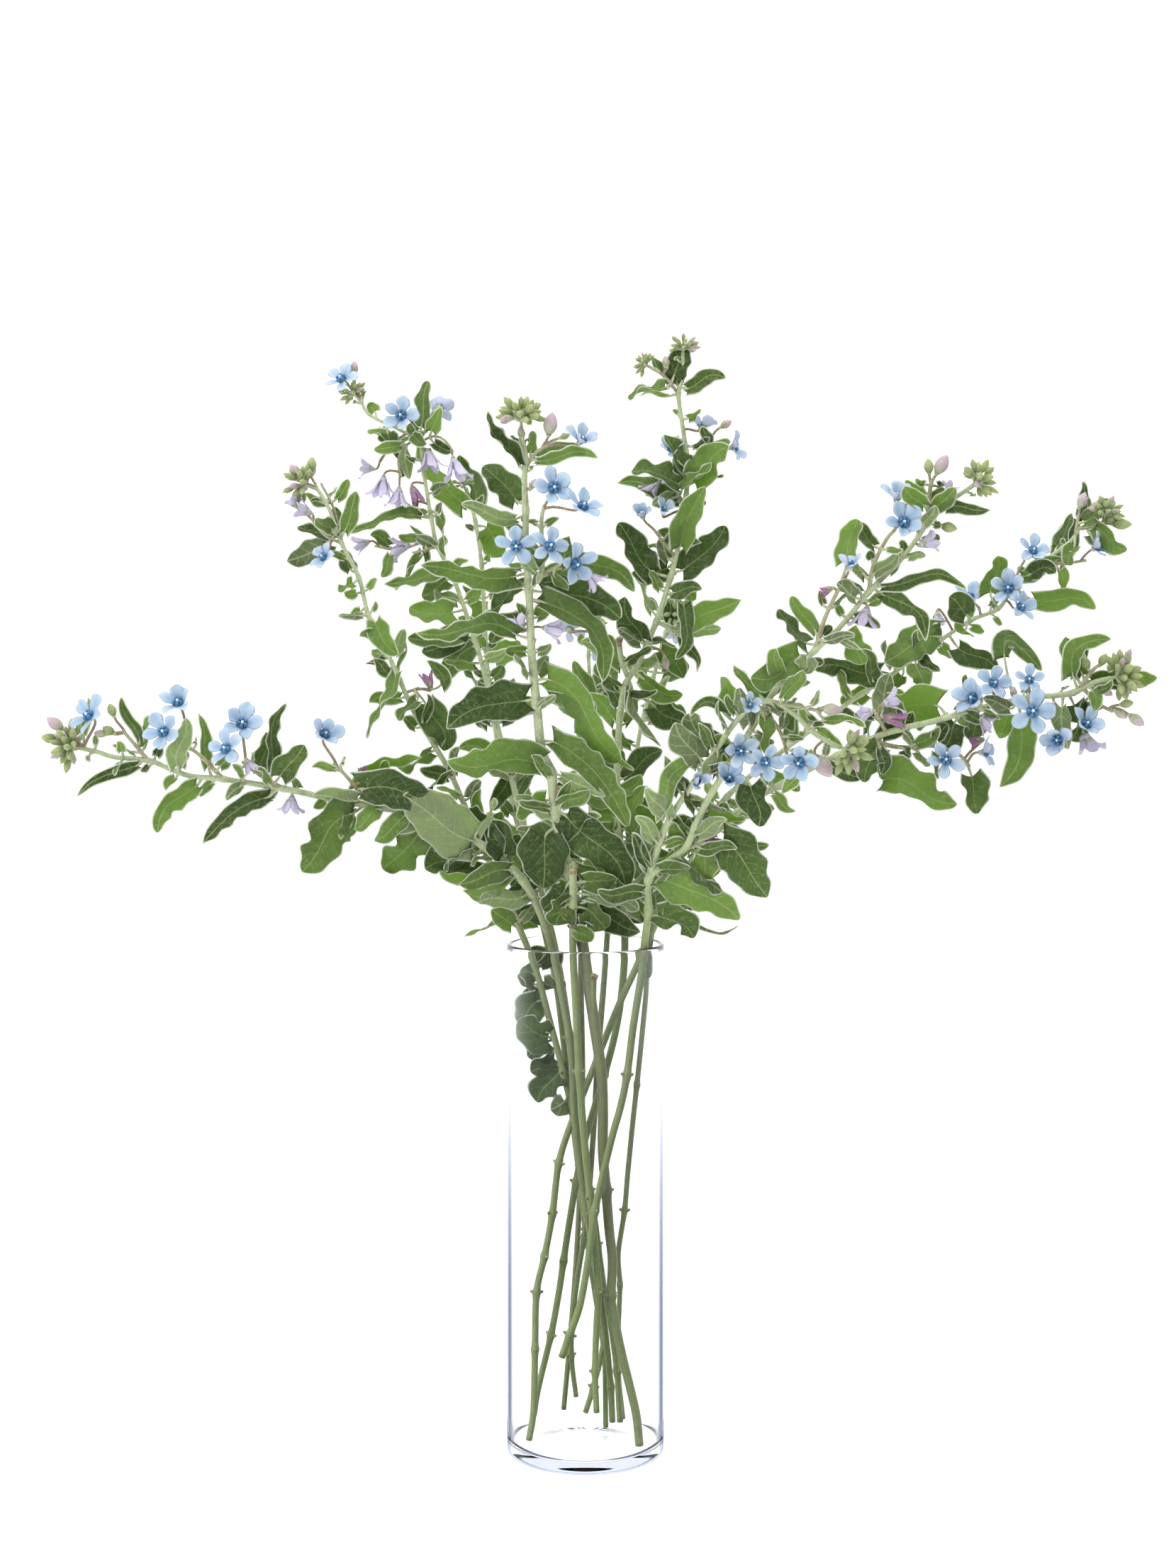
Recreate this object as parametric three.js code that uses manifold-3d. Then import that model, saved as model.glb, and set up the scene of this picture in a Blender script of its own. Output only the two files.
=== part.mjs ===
// A bunch of blue tweedia stems standing in a clear glass cylinder vase.
// Millimetres, +Z up, +X to the right and +Y away from the viewer.
// The origin is the middle of the vase's underside.
import * as THREE from "three";
import { mergeVertices } from "three/addons/utils/BufferGeometryUtils.js";
import Module from "manifold-3d";

const wasm = await Module();
wasm.setup();

// Vase
const VASE_DIAMETER = 100;
const VASE_HEIGHT = 322;
const VASE_WALL = 3;
const VASE_FLOOR = 7;
const FOOT_ROUND = 4;
const RIM_ROUND = 1.2;
const VASE_SIDES = 36;

// Places in the bunch are given as seen from the front: across and up, in millimetres
// on the upright plane through the vase's axis, from an eye at this distance and height.
const EYE_ACROSS = 1.6;
const EYE_DISTANCE = 1430;
const EYE_HEIGHT = 489;

// Every stem keeps to its own lane in depth. Lanes lie side by side in the vase, where
// crossing stems touch, and fan out above its mouth.
const LANE_STEP = 5;
const LANE_MIDDLE = 5.5;

const FAN_STEP = 26;
const FAN_REACH = 140;
const LANE_SHARE = 0.75;

// Blades, stalks and petals
const BLADE_THICK = 1.3;
const BLADE_FOLD = 16;
const BLADE_START = 4.5;
const PETIOLE_HALF = 0.9;
const STEM_SIDES = 4;
const TWIG_SIDES = 3;
const ROUTE_SLACK = 1.3;
const ROOT_DEPTH = 2;
const PEDICEL_RADIUS = 0.9;
const CALYX_RADIUS = 2.2;
const CALYX_DROP = 2.9;
const SEAT_GAP = 0.3;

const degrees = THREE.MathUtils.degToRad;

// The bunch
// lane: its place from front to back, and depth: how far it is behind the vase's axis
// route: [across, up], with a third number of 1 where the stem has a knot
// thick: radius at the cut end, half way and at the tip
// twigs: side shoots and flower stalks, moved in depth by shift
// leaves: [base across, base up, tip across, tip up, width, bow, lift, roll, fold]
// buds: [across, up, length, heading, width, kind]
// heads: [across, up, radius, count], clusters of green buds at a shoot's tip
// blooms: [across, up, shift, radius, yaw, pitch, cup, spin]
const STEMS = [
  {
    name: "stem_front_right",
    lane: 0,
    depth: -24.6,
    thick: [2.2, 2.3, 1.3],
    route: [
      [-15, 59], [-10, 73, 1], [-4, 90], [0, 110], [3, 130], [6, 152, 1], [11, 175], [17, 200],
      [22, 218], [26, 238, 1], [30, 270], [34.6, 300], [38, 326], [40, 343, 1], [40, 362, 1], [49, 371],
      [63, 382], [70, 396, 1], [77, 412], [92, 436, 1], [108, 462], [123, 486], [146, 508, 1],
      [163, 524], [180, 545, 1], [199, 564], [212, 581], [223, 597, 1], [235, 605], [247, 613],
    ],
    twigs: [
      {
        thick: [2.2, 1.4],
        shift: -9,
        route: [
          [40, 362], [44, 376], [52, 398], [66, 420], [80, 440], [95, 462], [108, 474], [120, 475],
          [133, 467], [143, 457], [152, 451], [162, 446],
        ],
      },
      { thick: [1.5, 1], shift: -9, route: [[118, 476], [136, 472], [150, 469]] },
      { thick: [1.5, 1.1], shift: -4, route: [[146, 508], [152, 528], [160, 545], [164, 552]] },
      { thick: [1.4, 1.1], shift: -4, route: [[180, 545], [183, 562], [191, 578], [197, 585]] },
      { thick: [1.4, 1.2], shift: 0, route: [[217, 590], [218, 603], [220, 616]] },
      { thick: [1.5, 1], shift: 3, route: [[63, 382], [70, 384], [74, 388]] },
      { thick: [1.3, 1], shift: -12, route: [[108, 474], [120, 462], [126, 450], [129, 436]] },
    ],
    leaves: [
      [45, 364, 98, 337, 20, 3, -11, 0], [42, 341, 69, 325, 20, 3, -7, 0],
      [83, 389, 116, 351, 25, 3, -14, 8], [74, 382, 78, 359, 16, 0, -5, 0],
      [81, 384, 87, 354, 9, -3, 4, 50], [74, 436, 45, 398, 12, -9, -14, 20],
      [76, 436, 57, 462, 17, 2, -11, 190], [82, 444, 66, 468, 15, 2, 11, 170],
      [97, 466, 86, 491, 14, 0, 9, 0], [92, 463, 67, 466, 8, -10, -7, 40],
      [114, 477, 94, 499, 9, 2, -11, 30], [104, 426, 110, 396, 20, 2, -14, 0],
      [136, 430, 125, 417, 8, 0, 5, 0], [84, 446, 77, 424, 10, 0, -14, 150],
      [148, 464, 178, 459, 7, 2, -7, 0], [140, 508, 105, 491, 24, 6, -14, 0],
      [145, 511, 122, 534, 14, 3, 5, 30], [147, 515, 157, 523, 8, 0, 9, 20],
      [143, 506, 138, 494, 12, 0, -14, 160], [184, 545, 216, 514, 12, 9, 4, 0],
      [184, 548, 242, 547, 9, 7, -9, 30], [190, 555, 203, 570, 8, 0, 11, 0],
      [177, 541, 160, 551, 13, 2, -14, 160], [166, 560, 173, 591, 15, 2, 7, 0],
      [184, 560, 180, 571, 6, 0, 4, 0], [217, 603, 203, 616, 9, 0, 5, 0],
      [225, 593, 257, 597, 9, 4, -9, 0], [214, 584, 222, 600, 8, 0, -11, 170],
      [220, 592, 228, 611, 9, 2, 7, 170], [60, 334, 97, 333, 6, -3, 9, 60],
      [128, 490, 104, 482, 12, 2, 16, 20],
    ],
    buds: [
      [218, 625, 10, 95, 6, "green"], [227, 627, 17, 60, 8, "pink"], [177, 528, 16, -105, 10, "lilac"],
      [219, 577, 15, 20, 9, "lilac"], [153, 546, 9, 200, 6, "withered"],
      [79, 388, 10, -20, 8, "withered"], [232, 611, 12, 70, 6, "lilac"],
      [231, 586, 11, -10, 7, "green"], [158, 470, 16, -8, 9, "pink"], [152, 433, 20, -55, 11, "pink"],
    ],
    heads: [[250, 616, 8, 7], [168, 444, 9, 8]],
    blooms: [
      [168, 562, -16, 11, 10, 50, 35, 0], [202, 589, -10, 14, 10, 5, 20, 40],
      [198, 605, -2, 12, 20, 60, 45, 10], [104, 473, -18, 9, 35, 0, 20, 20],
      [98, 444, -20, 13, 0, 10, 5, 30], [114, 437, -28, 13, 10, -15, 10, 0],
      [91, 426, -22, 12, 0, 5, 10, 50], [71, 424, -20, 10, -10, 10, 40, 20],
      [136, 437, -22, 14, -20, -15, 30, 10],
    ],
  },
  {
    name: "stem_front_short",
    lane: 1,
    depth: -19.9,
    thick: [1.9, 2.3, 2.3],
    route: [
      [7, 24], [6, 50, 1], [7, 80], [8, 100, 1], [6, 130], [3, 160, 1], [-1, 200], [-4, 240, 1],
      [-6, 280], [-8, 318], [-8, 345, 1], [-8, 372],
    ],
    twigs: [{ thick: [1.8, 2], shift: 2, route: [[-5, 290], [-8, 312], [-8, 331]] }],
    leaves: [
      [-3, 353, 34, 343, 13, 3, -7, 165], [-12, 349, -19, 333, 19, 0, -7, 0],
      [-4, 360, 20, 363, 16, 0, -4, 0], [-4, 345, 13, 331, 18, 2, -5, 0],
      [-3, 339, 35, 329, 16, 3, 4, 0], [-12, 362, -27, 343, 16, 3, 5, 0],
      [-10, 333, 4, 323, 10, 0, -5, 0],
    ],
    buds: [],
    heads: [],
    blooms: [],
  },
  {
    name: "stem_centre",
    lane: 2,
    depth: -14.5,
    thick: [2.6, 3.7, 1.7],
    route: [
      [34, 2.8], [32, 22], [28, 40], [22, 65], [17, 90], [16, 98, 1], [17, 120], [15, 140],
      [13, 165, 1], [11, 190], [11, 215], [10, 240], [6, 268], [2, 295], [-2, 322], [-7, 350],
      [-12, 372], [-19, 403], [-22, 430, 1], [-28, 445], [-31, 474, 1], [-34, 503], [-36, 546, 1],
      [-38, 572], [-38, 597, 1], [-39, 617], [-38, 628, 1], [-41, 645],
    ],
    twigs: [
      { thick: [2, 1.2], shift: -3, route: [[-35, 549], [-28, 556], [-28, 590], [-26, 600]] },
      { thick: [1.9, 2.1], shift: -3, route: [[8, 256], [5, 280], [5, 302]] },
      { thick: [1.8, 2], shift: -2, route: [[-20, 400], [-17, 412], [-16, 421]] },
      { thick: [1.3, 1], shift: -2, route: [[-36, 625], [-31, 634], [-24, 638]] },
      { thick: [1.2, 1], shift: -3, route: [[-36, 508], [-32, 515]] },
      { thick: [1.3, 1], shift: -5, route: [[-28, 554], [-20, 560], [-12, 560]] },
    ],
    leaves: [
      [-40, 622, -62, 660, 12, 3, -7, 30, 40], [-35, 628, 8, 630, 8, 3, -7, 0],
      [-42, 599, -65, 625, 18, -2, 7, 0], [-40, 593, -79, 601, 10, 3, -14, 150],
      [-40, 556, -105, 562, 16, 3, -14, 0], [-16, 571, 31, 545, 13, 4, 11, 0],
      [-32, 545, 22, 528, 20, 6, 9, 0], [-32, 540, 11, 488, 18, 15, -11, 0],
      [-29, 491, 22, 437, 20, 5, -5, 0], [-28, 478, 31, 432, 12, 6, 11, 30],
      [-25, 452, 27, 396, 18, 8, -14, 0], [-19, 430, 13, 415, 9, 0, -14, 150],
      [-15, 406, 26, 355, 22, 5, -9, 0], [-34, 476, -88, 458, 24, -6, -11, 0],
      [-27, 434, -88, 438, 24, 0, -14, 0], [-25, 394, -27, 357, 32, 0, -22, 0],
      [-39, 530, -60, 512, 14, -2, 14, 0], [-40, 514, -108, 519, 13, -6, -16, 0],
      [-40, 551, -60, 533, 16, 0, 16, 0], [-21, 414, -44, 402, 14, 0, 5, 0],
    ],
    buds: [
      [-22, 653, 18, 80, 11, "pink"], [-13, 644, 7, 20, 5, "green"], [-33, 614, 9, 60, 7, "pink"],
      [-41, 647, 10, 100, 7, "pink"], [-43, 527, 15, 110, 9, "lilac"], [-20, 521, 15, -10, 10, "lilac"],
      [6, 552, 14, -50, 8, "lilac"],
    ],
    heads: [[-41, 658, 9, 9]],
    blooms: [
      [-3, 641, -6, 13, 30, 25, 15, 0], [-20, 611, -14, 15, 0, 10, 5, 36],
      [-2, 599, -20, 14, 25, 15, 10, 0], [-44, 574, -17, 14, -10, 5, 5, 20],
      [-23, 574, -24, 14, 5, 15, 0, 0], [-7, 563, -14, 15, 20, -10, 10, 30],
    ],
  },
  {
    name: "stem_left_low",
    lane: 3,
    depth: -8.8,
    thick: [2, 2.6, 1.4],
    route: [
      [17, 18], [16, 40, 1], [13, 70], [9, 100, 1], [5, 125], [1, 150, 1], [-3, 178], [-7, 215],
      [-8, 240], [-10, 262, 1], [-15, 290], [-21, 318], [-29, 342], [-40, 362, 1], [-50, 372],
      [-64, 383, 1], [-95, 401], [-130, 408, 1], [-159, 413], [-192, 420, 1], [-230, 426, 1],
      [-251, 428], [-265, 433], [-278, 438, 1], [-299, 440], [-309, 443], [-322, 446],
    ],
    twigs: [
      { thick: [1.4, 1], shift: -3, route: [[-278, 438], [-288, 450], [-294, 457]] },
      { thick: [1.5, 1], shift: -5, route: [[-230, 426], [-246, 442], [-255, 448]] },
      { thick: [1.5, 1], shift: -6, route: [[-192, 420], [-206, 428], [-218, 437]] },
      { thick: [1.4, 1], shift: -4, route: [[-138, 410], [-152, 428], [-160, 436]] },
    ],
    leaves: [
      [-280, 436, -323, 415, 8, -4, -9, 10], [-283, 446, -295, 478, 7, 0, 9, 20],
      [-257, 430, -254, 465, 12, 2, -22, 200], [-238, 430, -246, 468, 9, 0, 11, 0],
      [-243, 424, -272, 392, 12, -6, -11, 10], [-197, 415, -243, 385, 12, -6, -14, 10],
      [-198, 428, -190, 474, 10, 6, 9, 20], [-196, 424, -179, 448, 15, 0, -18, 10],
      [-206, 426, -203, 456, 12, 0, 16, 20], [-318, 450, -316, 478, 6, 0, 7, 0],
      [-148, 417, -91, 405, 22, 8, -23, 0], [-142, 405, -180, 367, 26, -6, -16, 0],
      [-146, 414, -104, 440, 11, 10, 11, 20], [-120, 410, -137, 431, 13, -3, 11, 15],
      [-104, 405, -84, 432, 11, 5, 14, 30], [-68, 386, -116, 416, 30, 2, -27, 185],
      [-102, 400, -129, 369, 24, 3, 5, 5], [-68, 379, -102, 369, 24, 0, 7, 0],
      [-50, 374, -61, 400, 18, -2, -5, 0], [-60, 386, -82, 410, 18, 0, 14, 0],
      [-45, 364, -78, 355, 15, 6, -9, 45, 45], [-50, 361, -77, 362, 10, 0, 7, 0],
      [-54, 380, -42, 391, 9, 0, 9, 30],
    ],
    buds: [
      [-338, 462, 15, 145, 7, "pink"], [-341, 452, 10, 170, 6, "green"],
      [-309, 455, 10, 175, 6, "pink"], [-301, 470, 9, 110, 6, "green"], [-303, 457, 9, 150, 6, "green"],
      [-213, 434, 11, -60, 8, "lilac"], [-187, 409, 14, -95, 9, "lilac"],
      [-141, 430, 8, 100, 6, "withered"], [-124, 427, 7, 90, 5, "withered"],
    ],
    heads: [[-328, 447, 9, 9]],
    blooms: [
      [-315, 466, -6, 15, -25, 20, 10, 0], [-259, 474, -10, 14, -10, 25, 15, 20],
      [-268, 456, -20, 14, -20, 0, 10, 50], [-218, 461, -12, 15, 10, 25, 15, 0],
      [-228, 445, -26, 14, -15, 5, 10, 30], [-166, 454, -8, 14, 20, 30, 35, 0],
    ],
  },
  {
    name: "stem_right_low",
    lane: 4,
    depth: -4,
    thick: [2.1, 2.2, 1.8],
    route: [
      [-36, 6.2], [-33, 25], [-32, 64, 1], [-31, 100, 1], [-26, 123, 1], [-21, 150, 1], [-17, 182, 1],
      [-10, 205], [-2, 225], [8, 250, 1], [20, 280], [31, 304], [39, 322], [50, 345], [66, 372],
      [85, 395, 1], [104, 411], [130, 426], [160, 441, 1], [180, 451], [200, 458, 1], [222, 463],
      [250, 471, 1], [283, 478, 1], [297, 479], [310, 481, 1], [322, 487], [334, 490],
    ],
    twigs: [
      {
        thick: [1.6, 1.1],
        shift: 2,
        route: [
          [180, 451], [195, 447], [207, 446], [222, 447], [238, 441], [244, 434],
        ],
      },
      { thick: [1.5, 1.1], shift: -3, route: [[314, 483], [321, 494], [327, 499]] },
      { thick: [1.4, 1.1], shift: -3, route: [[316, 484], [326, 474], [335, 469]] },
      { thick: [1.4, 1], shift: -5, route: [[232, 466], [244, 472], [252, 478]] },
      { thick: [1.3, 1], shift: -5, route: [[192, 455], [187, 463], [184, 468]] },
    ],
    leaves: [
      [312, 485, 334, 515, 12, 14, -11, 0], [314, 487, 319, 513, 9, 3, 9, 0],
      [304, 476, 307, 445, 12, -3, -16, 160], [308, 477, 315, 462, 18, 0, 5, 0],
      [319, 486, 323, 469, 9, 3, -7, 0], [332, 489, 363, 491, 12, 0, 9, 0],
      [271, 485, 290, 495, 14, 27, 9, 0], [276, 470, 252, 477, 11, 0, -20, 170],
      [228, 472, 184, 469, 26, -2, 27, 0], [238, 465, 227, 446, 22, 0, 16, 0],
      [248, 468, 247, 450, 14, 0, 11, 0], [244, 432, 249, 404, 20, 0, -11, 0],
      [184, 424, 236, 410, 24, 3, -16, 0], [192, 451, 177, 424, 20, -3, -16, 0],
      [199, 447, 207, 441, 9, 0, -7, 0], [270, 471, 263, 452, 13, 0, 7, 0],
      [276, 465, 263, 421, 16, 7, -9, 10], [58, 359, 44, 384, 15, 2, 9, 0],
      [74, 384, 60, 404, 14, 2, 9, 0],
    ],
    buds: [
      [272, 482, 9, 90, 7, "pink"], [329, 502, 9, 60, 8, "green"], [332, 481, 10, -30, 7, "pink"],
      [341, 467, 11, -30, 9, "pink"], [351, 463, 14, -35, 8, "pink"], [344, 474, 9, 10, 7, "green"],
      [318, 500, 9, 110, 7, "green"], [319, 448, 16, -70, 13, "lilac"],
      [197, 464, 17, -10, 11, "withered"], [196, 476, 15, 20, 10, "lilac"],
      [177, 468, 13, 190, 9, "lilac"], [248, 450, 9, -160, 8, "withered"],
      [255, 462, 13, -40, 10, "lilac"],
    ],
    heads: [[341, 492, 10, 11]],
    blooms: [
      [246, 477, -20, 15, -10, 5, 5, 20], [259, 487, -12, 13, 10, 20, 5, 0],
      [282, 489, -12, 11, 0, 15, 0, 15], [284, 469, -20, 16, 5, -5, 0, 0],
      [300, 451, -18, 14, -10, -25, 20, 36], [318, 461, -10, 14, 15, 10, 15, 60],
      [229, 438, -10, 14, 0, 10, 10, 45], [253, 443, -8, 12, 50, 0, 20, 10],
    ],
  },
  {
    name: "stem_left_middle",
    lane: 5,
    depth: 0.5,
    thick: [2, 2.1, 1.2],
    route: [
      [22, 18], [20, 50, 1], [16, 80], [12, 97, 1], [8, 130], [3, 165, 1], [-2, 182], [-8, 212],
      [-14, 240, 1], [-22, 270], [-30, 300], [-38, 322], [-46, 340, 1], [-52, 354], [-66, 385, 1],
      [-78, 412], [-88, 434], [-108, 467], [-118, 489, 1], [-130, 515], [-138, 530, 1], [-144, 554, 1],
      [-155, 576, 1], [-163, 598], [-172, 613],
    ],
    twigs: [
      { thick: [1.1, 0.9], shift: -3, route: [[-155, 577], [-164, 580], [-171, 587], [-174, 592]] },
      { thick: [1, 0.8], shift: 3, route: [[-154, 574], [-160, 598], [-168, 614]] },
      { thick: [1.1, 0.9], shift: 3, route: [[-114, 482], [-106, 484]] },
    ],
    leaves: [
      [-135, 530, -119, 505, 14, -3, -9, 0], [-139, 536, -149, 528, 7, 0, 5, 0],
      [-158, 581, -171, 592, 11, 0, -9, 10], [-146, 556, -156, 571, 10, 0, 9, 20],
      [-144, 553, -157, 545, 11, 0, -9, 20], [-121, 499, -139, 452, 12, 3, -11, 20],
      [-121, 502, -136, 508, 7, 0, 7, 150], [-103, 478, -90, 444, 20, 3, -5, 0],
      [-103, 482, -119, 463, 10, 0, -11, 10], [-103, 481, -101, 501, 9, -12, 11, 40],
      [-19, 262, -42, 274, 20, 3, -5, 0], [-15, 246, -35, 240, 20, 0, 7, 0],
      [-11, 226, -22, 216, 12, 2, -5, 160], [-30, 300, -41, 306, 17, 0, 4, 0],
      [-43, 331, -60, 343, 13, 0, -4, 0], [-54, 341, -77, 326, 7, 3, -7, 60],
      [-50, 349, -62, 362, 9, 0, 7, 20],
    ],
    buds: [
      [-186, 623, 10, 110, 6, "pink"], [-174, 626, 10, 85, 6, "green"],
      [-180, 597, 13, 160, 9, "lilac"], [-186, 602, 9, 130, 7, "lilac"],
      [-100, 489, 12, 110, 8, "withered"],
    ],
    heads: [[-180, 614, 8, 8]],
    blooms: [[-166, 567, -8, 12, -20, 10, 15, 0]],
  },
  {
    name: "stem_top",
    lane: 6,
    depth: 5.1,
    thick: [2, 2.4, 1.3],
    route: [
      [-33, 22], [-30, 40], [-22, 73, 1], [-17, 100], [-14, 120, 1], [-11, 140], [-6, 170, 1],
      [-2, 190], [4, 212], [12, 238, 1], [19, 265], [23, 290], [25, 318], [24, 350], [22, 385],
      [20, 425], [22, 467, 1], [26, 487, 1], [34, 501], [45, 526, 1], [54, 554, 1], [60, 580],
      [64, 606, 1], [65, 628], [62, 648], [59, 671, 1], [62, 681], [62, 697],
    ],
    twigs: [
      { thick: [1.7, 1.9], shift: -3, route: [[27, 489], [23, 501], [21, 516]] },
      { thick: [1.2, 1], shift: -3, route: [[59, 671], [52, 680], [44, 687]] },
      { thick: [1.2, 1], shift: -4, route: [[57, 566], [50, 576], [44, 584]] },
      { thick: [1.2, 1], shift: 4, route: [[64, 612], [74, 630], [80, 638]] },
      { thick: [1.2, 1], shift: 5, route: [[63, 600], [56, 612], [50, 622]] },
    ],
    leaves: [
      [61, 673, 89, 681, 10, 3, -5, 10], [57, 674, 43, 694, 9, 1, 7, 0],
      [57, 671, 34, 669, 4, -1, -5, 30], [63, 612, 29, 621, 17, -3, -14, 10],
      [66, 611, 91, 638, 20, 2, -9, 0], [61, 603, 20, 614, 12, -3, 9, 0],
      [60, 569, 76, 612, 17, 3, -18, 0], [45, 556, 21, 589, 18, 2, -5, 0],
      [56, 563, 29, 557, 14, 3, 11, 0], [38, 510, 25, 542, 16, 2, -9, 0],
      [46, 530, 32, 556, 9, 2, 9, 160], [58, 556, 89, 587, 18, -3, 7, 0],
      [62, 519, 99, 540, 14, 3, -7, 0], [62, 541, 57, 502, 11, 5, -16, 0],
      [55, 546, 70, 540, 10, 2, 5, 0], [31, 489, 48, 447, 10, -6, -11, 50, 40],
      [34, 492, 62, 480, 12, -4, -5, 0], [42, 476, 67, 460, 16, -3, 9, 0],
      [44, 510, 62, 490, 14, 3, 11, 0], [21, 468, 14, 494, 9, 0, 7, 0], [27, 496, 14, 518, 12, 2, 9, 0],
      [60, 520, 71, 494, 8, 2, -11, 20], [22, 400, 50, 384, 20, 4, 4, 0],
      [22, 395, 2, 376, 16, -3, 7, 0],
    ],
    buds: [
      [51, 692, 9, 100, 6, "pink"], [90, 652, 10, 30, 6, "pink"], [51, 499, 10, -80, 6, "pink"],
      [42, 609, 14, 230, 9, "lilac"],
    ],
    heads: [[62, 701, 6, 6], [37, 690, 5, 6]],
    blooms: [
      [74, 650, 8, 13, 150, 40, 25, 0], [94, 637, 0, 12, 60, 10, 20, 20],
      [55, 635, 2, 12, -20, 40, 30, 0], [49, 610, 12, 11, 165, -30, 30, 20],
      [36, 594, -6, 10, -20, 40, 45, 0], [50, 597, -12, 10, 20, 50, 45, 30],
    ],
  },
  {
    name: "stem_right_middle",
    lane: 7,
    depth: 12.6,
    thick: [1.6, 1.9, 1.2],
    route: [
      [24, 20], [21, 50, 1], [21, 75], [22, 105, 1], [21, 125], [25, 152, 1], [27, 175], [30, 205],
      [33, 232, 1], [36, 260], [39, 290], [40.6, 318], [48, 352], [66, 385], [90, 415, 1], [120, 440],
      [150, 462], [175, 480, 1], [190, 489], [207, 502, 1], [225, 514, 1], [245, 527, 1], [262, 534, 1],
      [270, 545], [277, 553], [295, 567, 1], [308, 577], [313, 584],
    ],
    twigs: [
      { thick: [1.2, 0.9], shift: 0, route: [[313, 584], [313, 592], [314, 598]] },
      { thick: [1.3, 1], shift: 0, route: [[313, 584], [320, 588], [327, 593]] },
      { thick: [1.2, 1], shift: -3, route: [[290, 561], [304, 563], [318, 565]] },
      { thick: [1.1, 0.9], shift: -4, route: [[272, 548], [275, 558], [279, 565]] },
      { thick: [1.1, 0.9], shift: -3, route: [[252, 530], [250, 536]] },
      { thick: [1.1, 0.9], shift: 0, route: [[313, 584], [322, 586], [331, 588]] },
    ],
    leaves: [
      [192, 496, 145, 496, 16, 0, -9, 0], [178, 489, 172, 524, 15, 2, 11, 0],
      [183, 482, 163, 473, 12, -2, 9, 0], [229, 516, 190, 500, 20, -4, -11, 0],
      [246, 528, 231, 542, 18, 0, -14, 0], [244, 525, 240, 518, 13, 0, -7, 0],
      [210, 504, 214, 484, 14, 0, 9, 185], [202, 496, 198, 484, 10, 0, 5, 0],
      [258, 540, 262, 568, 17, 0, 9, 0], [279, 554, 299, 557, 12, 4, -11, 10],
      [296, 570, 309, 595, 10, -2, 9, 0], [312, 578, 306, 562, 12, 0, -9, 0],
      [281, 541, 324, 534, 13, 3, 9, 0], [234, 513, 261, 496, 15, 0, -13, 0],
    ],
    buds: [
      [316, 604, 13, 70, 7, "pink"], [325, 600, 12, 45, 9, "pink"], [341, 588, 13, 0, 7, "green"],
      [333, 591, 8, 20, 5, "green"], [224, 527, 12, -85, 8, "lilac"],
    ],
    heads: [[331, 596, 8, 8]],
    blooms: [
      [244, 541, 12, 14, -30, 20, 20, 0], [269, 547, -8, 15, -5, 10, 5, 20],
      [276, 535, -20, 13, 20, 10, 20, 0], [284, 571, -10, 13, 0, 25, 25, 0],
      [324, 573, -8, 13, 25, 15, 25, 30],
    ],
  },
  {
    name: "stem_left_top",
    lane: 8,
    depth: 13.5,
    thick: [1.8, 2.1, 1.1],
    route: [
      [0, 24], [5, 40, 1], [10, 60], [12, 75, 1], [12, 100], [8, 130, 1], [3, 160], [-2, 195],
      [-7, 235, 1], [-12, 278], [-19, 318], [-28, 355], [-40, 400, 1], [-52, 445], [-60, 475, 1],
      [-66, 500], [-72, 520], [-84, 554, 1], [-94, 574], [-98, 592, 1], [-103, 622], [-106, 640, 1],
      [-120, 649], [-138, 658], [-143, 668],
    ],
    twigs: [
      { thick: [1, 0.8], shift: -3, route: [[-106, 640], [-96, 644], [-89, 641], [-84, 634]] },
      { thick: [1, 0.8], shift: -4, route: [[-108, 641], [-116, 636], [-119, 627], [-117, 618]] },
      { thick: [1, 0.8], shift: 3, route: [[-114, 646], [-124, 638], [-130, 628]] },
      { thick: [1, 0.8], shift: -2, route: [[-94, 573], [-104, 571], [-110, 570]] },
      { thick: [1, 0.8], shift: 2, route: [[-97, 580], [-118, 572], [-134, 574]] },
      { thick: [1, 0.8], shift: 2, route: [[-106, 640], [-100, 650]] },
    ],
    leaves: [
      [-131, 656, -138, 665, 8, 0, 5, 0], [-126, 650, -124, 636, 12, 0, -7, 0],
      [-106, 646, -100, 679, 11, 0, 9, 0], [-114, 646, -101, 639, 9, 0, -7, 0],
      [-100, 591, -153, 583, 10, -4, -11, 10], [-96, 597, -89, 567, 9, 2, -9, 30],
      [-90, 561, -128, 550, 11, 3, -9, 0], [-84, 554, -104, 542, 14, 0, 11, 10],
      [-80, 533, -112, 535, 18, 3, -11, 0], [-77, 522, -104, 507, 18, 3, 9, 0],
      [-76, 518, -113, 516, 11, 3, -9, 0], [-49, 430, -58, 406, 12, 0, 7, 0],
    ],
    buds: [
      [-147, 688, 11, 85, 7, "pink"], [-99, 627, 17, -80, 11, "lilac"],
      [-82, 622, 18, -75, 11, "lilac"], [-119, 604, 15, -95, 10, "lilac"],
      [-108, 606, 14, -70, 9, "withered"], [-129, 610, 18, -95, 10, "lilac"],
      [-140, 624, 12, 170, 8, "lilac"], [-108, 596, 9, -80, 7, "withered"],
      [-119, 573, 15, 190, 10, "lilac"], [-143, 575, 13, 200, 8, "lilac"],
    ],
    heads: [[-148, 672, 6, 6]],
    blooms: [
      [-155, 680, -6, 14, -20, 10, 10, 0], [-117, 657, -10, 15, -5, 5, 5, 0],
      [-93, 662, -4, 13, 165, 15, 25, 20],
    ],
  },
  {
    name: "stem_back_right",
    lane: 9,
    depth: 17.7,
    thick: [1.6, 2, 1.2],
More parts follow.
